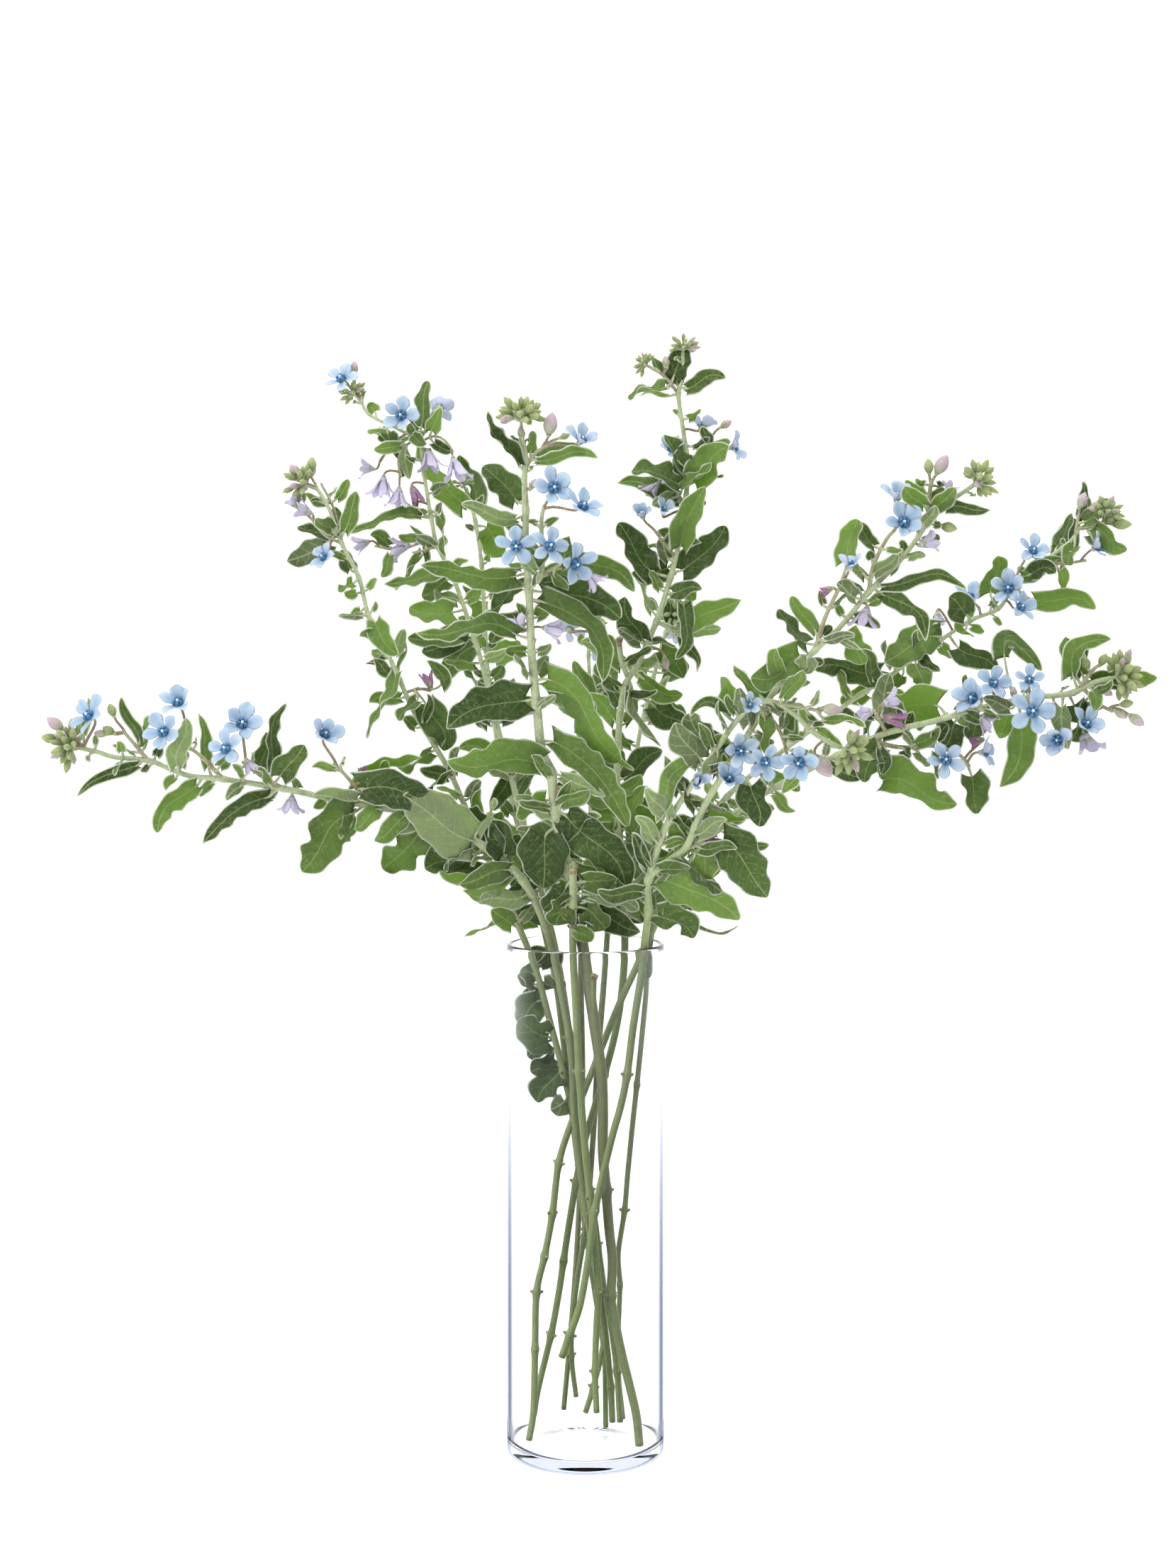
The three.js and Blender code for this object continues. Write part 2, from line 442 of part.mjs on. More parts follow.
    route: [
      [-6, 34], [-9, 60, 1], [-8, 85], [-5, 110], [-1, 135, 1], [2, 160], [5, 200], [8, 250, 1],
      [12, 300], [15, 340], [20, 380, 1], [27, 412], [32, 440, 1], [36, 463], [43, 490, 1], [48, 510],
      [54, 528],
    ],
    twigs: [{ thick: [1.2, 0.9], shift: 6, route: [[50, 515], [58, 526], [62, 534]] }],
    leaves: [
      [38, 464, 64, 468, 17, 3, 18, 0], [45, 493, 66, 498, 13, 0, 18, 0],
      [43, 492, 26, 503, 13, 0, 14, 0], [28, 412, 46, 394, 18, 0, 14, 0],
      [22, 386, 46, 378, 18, 0, 9, 0], [16, 350, 36, 356, 14, 0, 5, 0],
    ],
    buds: [[66, 540, 9, 60, 6, "green"]],
    heads: [[56, 532, 7, 7]],
    blooms: [[58, 518, 22, 13, 170, 10, 10, 0]],
  },
  {
    name: "stem_back_left",
    lane: 10,
    depth: 21.8,
    thick: [1.7, 2, 1.3],
    route: [
      [13, 14.6], [12, 60, 1], [6, 100], [0, 140, 1], [-6, 190], [-12, 240, 1], [-18, 290], [-24, 320],
      [-34, 362], [-46, 408, 1], [-56, 450], [-62, 493, 1], [-64, 528], [-66, 562, 1], [-70, 590, 1],
      [-76, 611],
    ],
    twigs: [],
    leaves: [
      [-73, 598, -107, 639, 16, 3, -11, 0], [-71, 598, -80, 632, 14, -2, 9, 0],
      [-68, 588, -52, 568, 18, 2, 5, 0], [-66, 512, -92, 488, 16, -4, 9, 0],
      [-61, 500, -42, 514, 15, 0, 14, 0], [-66, 524, -72, 541, 14, 0, 9, 0],
      [-62, 492, -68, 474, 12, 0, 11, 0], [-50, 424, -34, 440, 18, 0, 14, 0],
      [-58, 462, -76, 474, 16, 0, 14, 0],
    ],
    buds: [],
    heads: [[-78, 614, 5, 5]],
    blooms: [],
  },
  {
    name: "stem_back",
    lane: 11,
    depth: 25.9,
    thick: [1.7, 2, 1.2],
    route: [
      [-14, 26], [-10, 70, 1], [-6, 120], [-3, 180, 1], [-2, 240], [-3, 300], [-2, 340], [2, 385, 1],
      [4, 430], [4, 470, 1], [2, 505, 1], [4, 522],
    ],
    twigs: [{ thick: [1.2, 0.9], shift: 5, route: [[4, 470], [12, 484], [16, 492]] }],
    leaves: [
      [0, 388, -22, 404, 18, 0, 22, 0], [4, 432, 24, 446, 18, 0, 22, 0],
      [2, 470, -18, 486, 18, 0, 22, 0], [4, 480, 20, 496, 16, 0, 22, 0],
      [-3, 350, -24, 362, 18, 0, 14, 0], [1, 352, 20, 364, 18, 0, 14, 0],
    ],
    buds: [[14, 502, 10, 70, 6, "pink"]],
    heads: [[4, 526, 7, 7]],
    blooms: [[-10, 521, 16, 13, 170, 20, 10, 0], [12, 510, 22, 13, 190, 0, 10, 20]],
  },
];

// Depth of a lane at a place in the bunch, moved off its middle by an offset that
// never leaves the lane's room
function fanOut(across, up) {
  const above = Math.max(0, up - VASE_HEIGHT);
  const reach = Math.hypot(above, (across * above) / (above + 30));
  return (FAN_STEP * reach * reach) / (reach * reach + FAN_REACH * FAN_REACH);
}

function laneDepth(stem, across, up, offset) {
  const fan = fanOut(across, up);
  const room = LANE_SHARE * (LANE_STEP + fan);
  return stem.depth + (stem.lane - LANE_MIDDLE) * fan + room * Math.tanh(offset / room);
}

// The point in space that shows at this place from the front, at this depth
function seen(across, up, depth) {
  const scale = (EYE_DISTANCE + depth) / EYE_DISTANCE;
  return new THREE.Vector3(
    EYE_ACROSS + (across - EYE_ACROSS) * scale,
    depth,
    EYE_HEIGHT + (up - EYE_HEIGHT) * scale,
  );
}

// Closed geometry from points and triangles, with its faces turned outwards
function closedGeometry(points, triangles) {
  const corner = [new THREE.Vector3(), new THREE.Vector3(), new THREE.Vector3()];
  let volume = 0;
  for (const triangle of triangles) {
    triangle.forEach((index, i) => corner[i].copy(points[index]));
    volume += corner[0].dot(corner[1].cross(corner[2]));
  }
  const turned = volume < 0 ? triangles.map(([a, b, c]) => [a, c, b]) : triangles;
  const geometry = new THREE.BufferGeometry();
  const places = points.flatMap(({ x, y, z }) => [x, y, z]);
  geometry.setAttribute("position", new THREE.Float32BufferAttribute(places, 3));
  geometry.setIndex(turned.flat());
  return geometry;
}

// A skin over loops of points, closed at each end by a point or by a flat cap. In a thin
// blade the under half is cut along the same diagonals as the upper half.
function loft(loops, startPoint, endPoint, thin = false) {
  const count = loops[0].length;
  const points = loops.flat();
  const triangles = [];
  for (let row = 0; row + 1 < loops.length; row += 1) {
    for (let i = 0; i < count; i += 1) {
      const next = (i + 1) % count;
      const [a, b] = [row * count + i, row * count + next];
      const [c, d] = [a + count, b + count];
      if (thin && i >= count / 2) {
        triangles.push([a, b, c], [b, d, c]);
      } else {
        triangles.push([a, b, d], [a, d, c]);
      }
    }
  }
  const last = (loops.length - 1) * count;
  for (const [point, first, turn] of [[startPoint, 0, 1], [endPoint, last, -1]]) {
    const hub = point ? points.push(point) - 1 : first;
    for (let i = point ? 0 : 1; i < (point ? count : count - 1); i += 1) {
      const [a, b] = [first + i, first + ((i + 1) % count)];
      triangles.push(turn > 0 ? [hub, b, a] : [hub, a, b]);
    }
  }
  return closedGeometry(points, triangles);
}

function solidFrom(geometry) {
  const bare = geometry.clone();
  bare.deleteAttribute("normal");
  bare.deleteAttribute("uv");
  const merged = mergeVertices(bare, 1e-4);
  return new wasm.Manifold(new wasm.Mesh({
    numProp: 3,
    vertProperties: new Float32Array(merged.attributes.position.array),
    triVerts: new Uint32Array(merged.index.array),
  }));
}

function geometryFrom(solid) {
  const mesh = solid.getMesh();
  const geometry = new THREE.BufferGeometry();
  geometry.setAttribute("position", new THREE.Float32BufferAttribute(mesh.vertProperties, 3));
  geometry.setIndex(Array.from(mesh.triVerts));
  geometry.computeVertexNormals();
  return geometry;
}

// A ring of points round a place, square to a direction
function ring(centre, along, radius, sides) {
  const across = new THREE.Vector3(0, 1, 0).cross(along).normalize();
  const rise = along.clone().normalize().cross(across);
  return Array.from({ length: sides }, (_, side) => {
    const angle = (2 * Math.PI * side) / sides;
    return centre.clone()
      .addScaledVector(across, radius * Math.cos(angle))
      .addScaledVector(rise, radius * Math.sin(angle));
  });
}

// The direction half way round the bend at a place, from one direction to the next
function bendAt(before, place, onward) {
  return place.clone().sub(before).normalize().add(onward.clone().normalize());
}

// Shoots: the stem itself and its twigs, as lines through the bunch
function thicknessAt(thick, share) {
  const place = share * (thick.length - 1);
  const low = Math.min(Math.floor(place), thick.length - 2);
  return THREE.MathUtils.lerp(thick[low], thick[low + 1], place - low);
}

// The points that a line can't do without: the others lie within the slack of it
function needed(points) {
  const place = ({ across, up, depth }) => new THREE.Vector3(across, depth, up);
  const chord = new THREE.Line3(place(points[0]), place(points[points.length - 1]));
  const gaps = points.map((point) => {
    const spot = place(point);
    return spot.distanceTo(chord.closestPointToPoint(spot, true, new THREE.Vector3()));
  });
  const widest = Math.max(...gaps);
  if (widest < ROUTE_SLACK) {
    return [points[0], points[points.length - 1]];
  }
  const split = gaps.indexOf(widest);
  return [...needed(points.slice(0, split + 1)), ...needed(points.slice(split)).slice(1)];
}

function shoot(stem, route, thick, from, to, sides) {
  const lengths = [0];
  for (let i = 1; i < route.length; i += 1) {
    lengths.push(lengths[i - 1] + Math.hypot(route[i][0] - route[i - 1][0], route[i][1] - route[i - 1][1]));
  }
  const points = route.map(([across, up], i) => {
    const share = lengths[i] / lengths[lengths.length - 1];
    const offset = THREE.MathUtils.lerp(from, to, share);
    const depth = laneDepth(stem, across, up, offset);
    return { across, up, offset, depth, radius: thicknessAt(thick, share) };

  });
  return { points: needed(points), sides };
}

// The place nearest to this one on any of the shoots
function nearestOn(shoots, across, up) {
  let best = null;
  for (const { points } of shoots) {
    for (let i = 0; i + 1 < points.length; i += 1) {
      const [a, b] = [points[i], points[i + 1]];
      const [du, dv] = [b.across - a.across, b.up - a.up];
      const length = Math.hypot(du, dv);
      const share = ((across - a.across) * du + (up - a.up) * dv) / (length * length);
      const t = THREE.MathUtils.clamp(share, 0, 1 - ROOT_DEPTH / length);
      const between = (name) => a[name] + (b[name] - a[name]) * t;
      const place = { across: between("across"), up: between("up"), depth: between("depth") };
      const gap = Math.hypot(place.across - across, place.up - up);
      if (!best || gap < best.gap) {
        const point = seen(place.across, place.up, place.depth);
        best = { ...place, gap, offset: between("offset"), point };
      }
    }
  }
  return best;
}

function shootsOf(stem) {
  const shoots = [shoot(stem, stem.route, stem.thick, 0, 0, STEM_SIDES)];
  for (const { route, thick, shift } of stem.twigs) {
    const root = nearestOn(shoots, route[0][0], route[0][1]);
    const line = [[root.across, root.up], ...route.slice(1)];
    const twig = shoot(stem, line, thick, root.offset, shift, TWIG_SIDES);

    twig.points[0].depth = root.depth;
    shoots.push(twig);
  }
  return shoots;
}

function shootSolid({ points, sides }) {
  const line = points.map(({ across, up, depth }) => seen(across, up, depth));
  const loops = line.map((point, i) => {
    const before = line[Math.max(0, i - 1)];
    const after = line[Math.min(line.length - 1, i + 1)];
    return ring(point, after.clone().sub(before), points[i].radius, sides);
  });
  return solidFrom(loft(loops, null, null));
}

// Leaves
function leafPattern(length, start) {
  if (length < 26) {
    return [[start, 0.7], [0.6, 0.85]];
  }
  if (length < 50) {
    return [[start, 0.7], [0.38, 1], [0.74, 0.62]];
  }
  return [[start, 0.7], [0.27, 1], [0.54, 0.88], [0.8, 0.55]];
}

function leaf(stem, shoots, values, number) {
  const [baseU, baseV, tipU, tipV, width, bow, lift, roll, fold = BLADE_FOLD] = values;
  const length = Math.hypot(tipU - baseU, tipV - baseV);
  const root = nearestOn(shoots, baseU, baseV);
  const heading = [(tipU - baseU) / length, (tipV - baseV) / length];
  const [rollCos, rollSin] = [Math.cos(degrees(roll)), Math.sin(degrees(roll))];
  const [foldCos, foldSin] = [Math.cos(degrees(fold)), Math.sin(degrees(fold))];
  const place = (across, up, offset) => (
    seen(across, up, laneDepth(stem, across, up, root.offset + offset))
  );
  const rib = (t) => {
    const bulge = 4 * bow * t * (1 - t);
    return [
      baseU + (tipU - baseU) * t - heading[1] * bulge,
      baseV + (tipV - baseV) * t + heading[0] * bulge,
    ];
  };
  const frameAt = (t, half, wave) => {
    const [across, up] = rib(t);
    const next = rib(t + 0.02);
    const last = t > 0 ? rib(t - 0.02) : petioleEnd;
    const step = [next[0] - last[0], next[1] - last[1]];
    const out = lift * t * (2 - t);
    const size = Math.hypot(step[0], step[1]);
    const edge = (side) => {
      const raised = half * foldSin + side * wave;
      const sweep = side * half * foldCos * rollCos - raised * rollSin;
      const toward = side * half * foldCos * rollSin + raised * rollCos;
      return place(across - (step[1] / size) * sweep, up + (step[0] / size) * sweep, out - toward);
    };
    return { middle: place(across, up, out), left: edge(1), right: edge(-1) };
  };
  const petioleShare = (0.02 * length) / Math.max(root.gap, 0.01);
  const petioleEnd = [
    baseU + (root.across - baseU) * petioleShare,
    baseV + (root.up - baseV) * petioleShare,
  ];

  const behind = (root.across - baseU) * heading[0] + (root.up - baseV) * heading[1];
  const start = Math.max(0.06, (BLADE_START + Math.max(0, behind)) / length);
  const frames = leafPattern(length, start).map(([t, share], i) => (
    frameAt(t, (share * width) / 2, 0.05 * width * Math.sin(2.4 * i + number))
  ));
  if (root.gap > 4) {
    frames.unshift(frameAt(0, PETIOLE_HALF, 0));
  }
  const tip = place(tipU, tipV, lift);
  const loops = frames.map(({ middle, left, right }, i) => {
    const next = i + 1 < frames.length ? frames[i + 1].middle : tip;
    const normal = right.clone().sub(left).cross(next.clone().sub(middle)).normalize();
    const raise = (amount) => middle.clone().addScaledVector(normal, amount);
    return [left, raise(BLADE_THICK / 2), right, raise(-BLADE_THICK / 2)];
  });
  return solidFrom(loft(loops, root.point, tip, true));
}

// Buds and bells on their stalks, and clusters of buds on a small core
function bud(stem, shoots, values) {
  const [across, up, length, heading, width] = values;
  const reach = [(Math.cos(degrees(heading)) * length) / 2, (Math.sin(degrees(heading)) * length) / 2];
  const root = nearestOn(shoots, across - reach[0], up - reach[1]);
  const place = (share) => {
    const [u, v] = [across + share * reach[0], up + share * reach[1]];
    return seen(u, v, laneDepth(stem, u, v, root.offset));
  };
  const along = place(1).sub(place(-1));
  const sides = width > 7 ? 4 : 3;
  const loops = [
    ring(place(-0.5), along, 0.42 * width, sides),
    ring(place(0.3), along, 0.5 * width, sides),
  ];

  if (root.gap > 3) {
    loops.unshift(ring(place(-1), bendAt(root.point, place(-1), along), PEDICEL_RADIUS, sides));
  }
  return solidFrom(loft(loops, root.point, place(1)));
}

function head(stem, shoots, values) {
  const [across, up, radius] = values;
  const root = nearestOn(shoots, across, up);
  const centre = seen(across, up, laneDepth(stem, across, up, root.offset));
  const core = new THREE.OctahedronGeometry(0.55 * radius).attributes.position;
  const cornerAt = (i) => new THREE.Vector3().fromBufferAttribute(core, i);
  const corners = Array.from({ length: core.count }, (_, i) => cornerAt(i));

  const points = [];
  const triangles = [];
  for (let i = 0; i < corners.length; i += 3) {
    const face = corners.slice(i, i + 3);
    const peak = face[0].clone().add(face[1]).add(face[2]).setLength(radius);
    const first = points.length;
    points.push(...[...face, peak].map((point) => point.clone().add(centre)));
    const [second, third, top] = [first + 1, first + 2, first + 3];
    triangles.push([first, second, top], [second, third, top], [third, first, top]);

  }
  const buds = solidFrom(closedGeometry(points, triangles));
  if (root.gap < 0.5 * radius) {
    return [buds];
  }
  const loop = ring(root.point, centre.clone().sub(root.point), PEDICEL_RADIUS, TWIG_SIDES);
  return [buds, solidFrom(loft([loop], null, centre))];
}

// Blooms
function facing(yaw, pitch) {
  return new THREE.Vector3(
    Math.sin(degrees(yaw)) * Math.cos(degrees(pitch)),
    -Math.cos(degrees(yaw)) * Math.cos(degrees(pitch)),
    Math.sin(degrees(pitch)),
  );
}

function bloomPlace(stem, values) {
  const [across, up, shift] = values;
  return seen(across, up, laneDepth(stem, across, up, 0) + shift);
}

function bloomStalk(stem, shoots, values) {
  const [across, up, , , yaw, pitch] = values;
  const root = nearestOn(shoots, across, up);
  const front = facing(yaw, pitch);
  const back = (distance) => bloomPlace(stem, values).addScaledVector(front, -distance);
  const neck = back(CALYX_DROP + 4);
  const loops = [
    ring(neck, bendAt(root.point, neck, front), PEDICEL_RADIUS, 4),
    ring(back(CALYX_DROP), front, CALYX_RADIUS, 4),
  ];
  return solidFrom(loft(loops, root.point, null));
}

function corolla(stem, values) {
  const [, , , radius, yaw, pitch, cup, spin] = values;
  const front = facing(yaw, pitch);
  const centre = bloomPlace(stem, values);
  const across = new THREE.Vector3(0, 0, 1).cross(front).normalize();
  const rise = front.clone().cross(across);
  const points = [];
  const put = (share, angle, forward) => {
    const lean = degrees(cup) * THREE.MathUtils.clamp((share - 0.1) / 0.3, 0, 1);
    const out = share * radius * Math.cos(lean);
    const ahead = forward + share * radius * Math.sin(lean);
    points.push(centre.clone()
      .addScaledVector(across, out * Math.cos(angle))
      .addScaledVector(rise, out * Math.sin(angle))
      .addScaledVector(front, ahead));
    return points.length - 1;
  };
  const drop = CALYX_DROP - SEAT_GAP;
  const apex = put(0, 0, 0.1 * radius);
  const foot = put(0, 0, -drop);
  const step = (2 * Math.PI) / 5;
  const petals = Array.from({ length: 5 }, (_, i) => {
    const angle = degrees(spin) + i * step;
    return {
      crown: put(0.2, angle, 0.13 * radius),
      base: put(0.09, angle, -drop),
      notch: put(0.26, angle - step / 2, 0),
      left: put(0.68, angle - 0.42, 0.4),
      tip: put(1, angle, -0.4),
      right: put(0.68, angle + 0.42, 0.4),
    };
  });
  const triangles = [];
  petals.forEach((petal, i) => {
    const next = petals[(i + 1) % petals.length];
    for (const [inner, hub, turn] of [["crown", apex, 1], ["base", foot, -1]]) {
      const faces = [
        [petal[inner], petal.notch, petal.left], [petal[inner], petal.left, petal.tip],
        [petal[inner], petal.tip, petal.right], [petal[inner], petal.right, next.notch],
        [petal[inner], next.notch, next[inner]], [hub, petal[inner], next[inner]],
      ];
      triangles.push(...faces.map(([a, b, c]) => (turn > 0 ? [a, b, c] : [a, c, b])));
    }
  });
  return closedGeometry(points, triangles);
}

// Vase
function vaseGeometry() {
  const outer = VASE_DIAMETER / 2;
  const inner = outer - VASE_WALL;
  const round = (x, y, size, from, to, steps) => Array.from({ length: steps + 1 }, (_, i) => {
    const angle = degrees(from + ((to - from) * i) / steps);
    return new THREE.Vector2(x + size * Math.cos(angle), y + size * Math.sin(angle));
  });
  const profile = [
    new THREE.Vector2(0, 0),
    ...round(outer - FOOT_ROUND, FOOT_ROUND, FOOT_ROUND, -90, 0, 2),
    ...round(outer - RIM_ROUND, VASE_HEIGHT - RIM_ROUND, RIM_ROUND, 0, 90, 1),
    new THREE.Vector2(inner, VASE_HEIGHT),
    ...round(inner - FOOT_ROUND, VASE_FLOOR + FOOT_ROUND, FOOT_ROUND, 0, -90, 1),
    new THREE.Vector2(0, VASE_FLOOR),
  ];
  const geometry = new THREE.LatheGeometry(profile, VASE_SIDES);
  geometry.rotateX(Math.PI / 2);
  return geometry;
}

// Materials
const glass = new THREE.MeshStandardMaterial({
  color: 0xeef3f8, roughness: 0.03, metalness: 0, transparent: true, opacity: 0.35,
});
const stemGreen = new THREE.MeshStandardMaterial({ color: 0x6f8a45, roughness: 0.7, metalness: 0 });
const skyBlue = new THREE.MeshStandardMaterial({ color: 0x9cc0e4, roughness: 0.6, metalness: 0 });

function namedMesh(name, geometry, material) {
  const mesh = new THREE.Mesh(geometry, material);
  mesh.name = name;
  return mesh;
}

function leafyStem(stem) {
  const shoots = shootsOf(stem);
  const solids = [
    ...shoots.map(shootSolid),
    ...stem.leaves.map((values, number) => leaf(stem, shoots, values, number)),
    ...stem.buds.map((values) => bud(stem, shoots, values)),
    ...stem.heads.flatMap((values) => head(stem, shoots, values)),
    ...stem.blooms.map((values) => bloomStalk(stem, shoots, values)),
  ];
  return geometryFrom(wasm.Manifold.union(solids));
}

const bunch = new THREE.Group();
bunch.name = "tweedia_in_vase";
bunch.add(namedMesh("vase", vaseGeometry(), glass));
for (const stem of STEMS) {
  bunch.add(namedMesh(stem.name, leafyStem(stem), stemGreen.clone()));
  stem.blooms.forEach((values, number) => {
    const name = `${stem.name.replace("stem", "bloom")}_${number + 1}`;
    bunch.add(namedMesh(name, corolla(stem, values), skyBlue.clone()));
  });
}

export default bunch;
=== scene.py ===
# A bunch of blue tweedia stems in a clear glass cylinder vase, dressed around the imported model.
# Lengths are in millimetres up to the moment when a mesh is made.
import math

import bmesh
import bpy
import numpy as np
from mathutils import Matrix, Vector


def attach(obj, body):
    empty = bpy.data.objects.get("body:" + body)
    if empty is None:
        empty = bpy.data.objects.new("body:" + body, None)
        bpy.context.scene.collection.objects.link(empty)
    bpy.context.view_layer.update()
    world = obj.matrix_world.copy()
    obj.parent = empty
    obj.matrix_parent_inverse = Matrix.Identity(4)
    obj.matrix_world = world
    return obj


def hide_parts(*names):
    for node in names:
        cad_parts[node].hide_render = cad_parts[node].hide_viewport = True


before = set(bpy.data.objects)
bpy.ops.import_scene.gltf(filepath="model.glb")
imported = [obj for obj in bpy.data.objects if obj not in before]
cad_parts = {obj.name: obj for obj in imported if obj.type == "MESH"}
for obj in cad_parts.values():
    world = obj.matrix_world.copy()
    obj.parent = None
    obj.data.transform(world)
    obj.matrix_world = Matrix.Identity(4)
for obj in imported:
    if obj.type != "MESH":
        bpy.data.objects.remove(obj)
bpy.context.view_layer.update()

MM = 0.001

# Vase
VASE_RADIUS = 50.0
VASE_HEIGHT = 322.0
VASE_WALL = 3.0
VASE_FLOOR = 7.0
FOOT_ROUND = 4.0
RIM_ROUND = 1.4
VASE_SEGMENTS = 144

# Eye: places in the bunch are given as seen from here, on the upright plane through the vase's axis
EYE_ACROSS = 1.6
EYE_DISTANCE = 1430.0
EYE_HEIGHT = 489.0

# Lanes in depth
LANE_STEP = 5.0
LANE_MIDDLE = 5.5
FAN_STEP = 26.0
FAN_REACH = 140.0
LANE_SHARE = 0.75

# Leaves. Those with their foot lower than VASE_LEAF_BELOW are in the vase, broader, and darker by painted
# shade: their tone is scaled down.
BLADE_FOLD = 16.0
BLADE_START = 4.5
BLADE_WIDEN = 1.2
BLADE_HALF_THICKNESS = 0.22
RIB_HALF_WIDTH = 0.9
RIB_DEPTH = 0.55
RIB_GROOVE = 0.12
VASE_LEAF_BELOW = VASE_HEIGHT - 8
VASE_LEAF_WIDEN = 1.3
VASE_LEAF_SHADE = 0.4
LEAF_ROWS = 27
LEAF_COLUMNS = 11
SMALL_ROWS = 16
SMALL_COLUMNS = 7
SMALL_FROM = 330.0
SMALL_STEP = 18.0
SMALL_SHARE = 0.85
SMALL_SHORTEST = 9.0
SMALL_GROWTH = 29.0
SMALL_LEAN = 0.75
SMALL_TWIG_LENGTH = 0.7
SMALL_LEAST_WIDTH = 2.4
SMALL_WIDTH_SHARE = 0.34
SMALL_TURNED_SHARE = 0.22

# Stalks
STEM_SPACING = 3.0
KNOT_SWELL = 0.34
KNOT_REACH = 2.6
ROOT_BLEND = 0.3
SCARS_BELOW = 318.0
THIN_TWIG = 1.75
TWIG_BROWN = 0.62
STEM_BROWN = 0.05
LOW_BROWN = 0.12
LOW_BROWN_BELOW = 330.0
STEM_SIDES = 12
TWIG_SIDES = 8
PETIOLE_RADIUS = 0.85
PEDICEL_RADIUS = 0.8
CALYX_DROP = 2.9
HEAD_GROWTH = 1.3

# Flowers. Lengths and widths that end in SHARE are parts of the flower's radius.
FLOWER_PARTS = 5
TURN_DRAW = 20
TILT_DRAW = (-8, 26)
CUP_DRAW = 34
PETAL_FOOT_SHARE = 0.13
PETAL_LENGTH_SHARE = 0.87
PETAL_WIDTH_SHARE = 0.63
BUD_ROWS = 11
BUD_SIDES = 18
SEPAL_HALF_THICKNESS = 0.18
PETAL_HALF_THICKNESS = 0.2
PETAL_ROWS = 11
PETAL_COLUMNS = 7

# Seeds of the random draws. A stem adds the number of its lane.
STEM_SEED = 100
VASE_LEAF_SEED = 900

# Stage
FLOOR_RADIUS = 40000.0
FLOOR_DROP = 0.2
FLOOR_GLOW = 0.42
SKY_SEEN = 1.5
SENSOR_WIDTH = 36
LENS = 51.67
SHIFT_UP = -0.0663

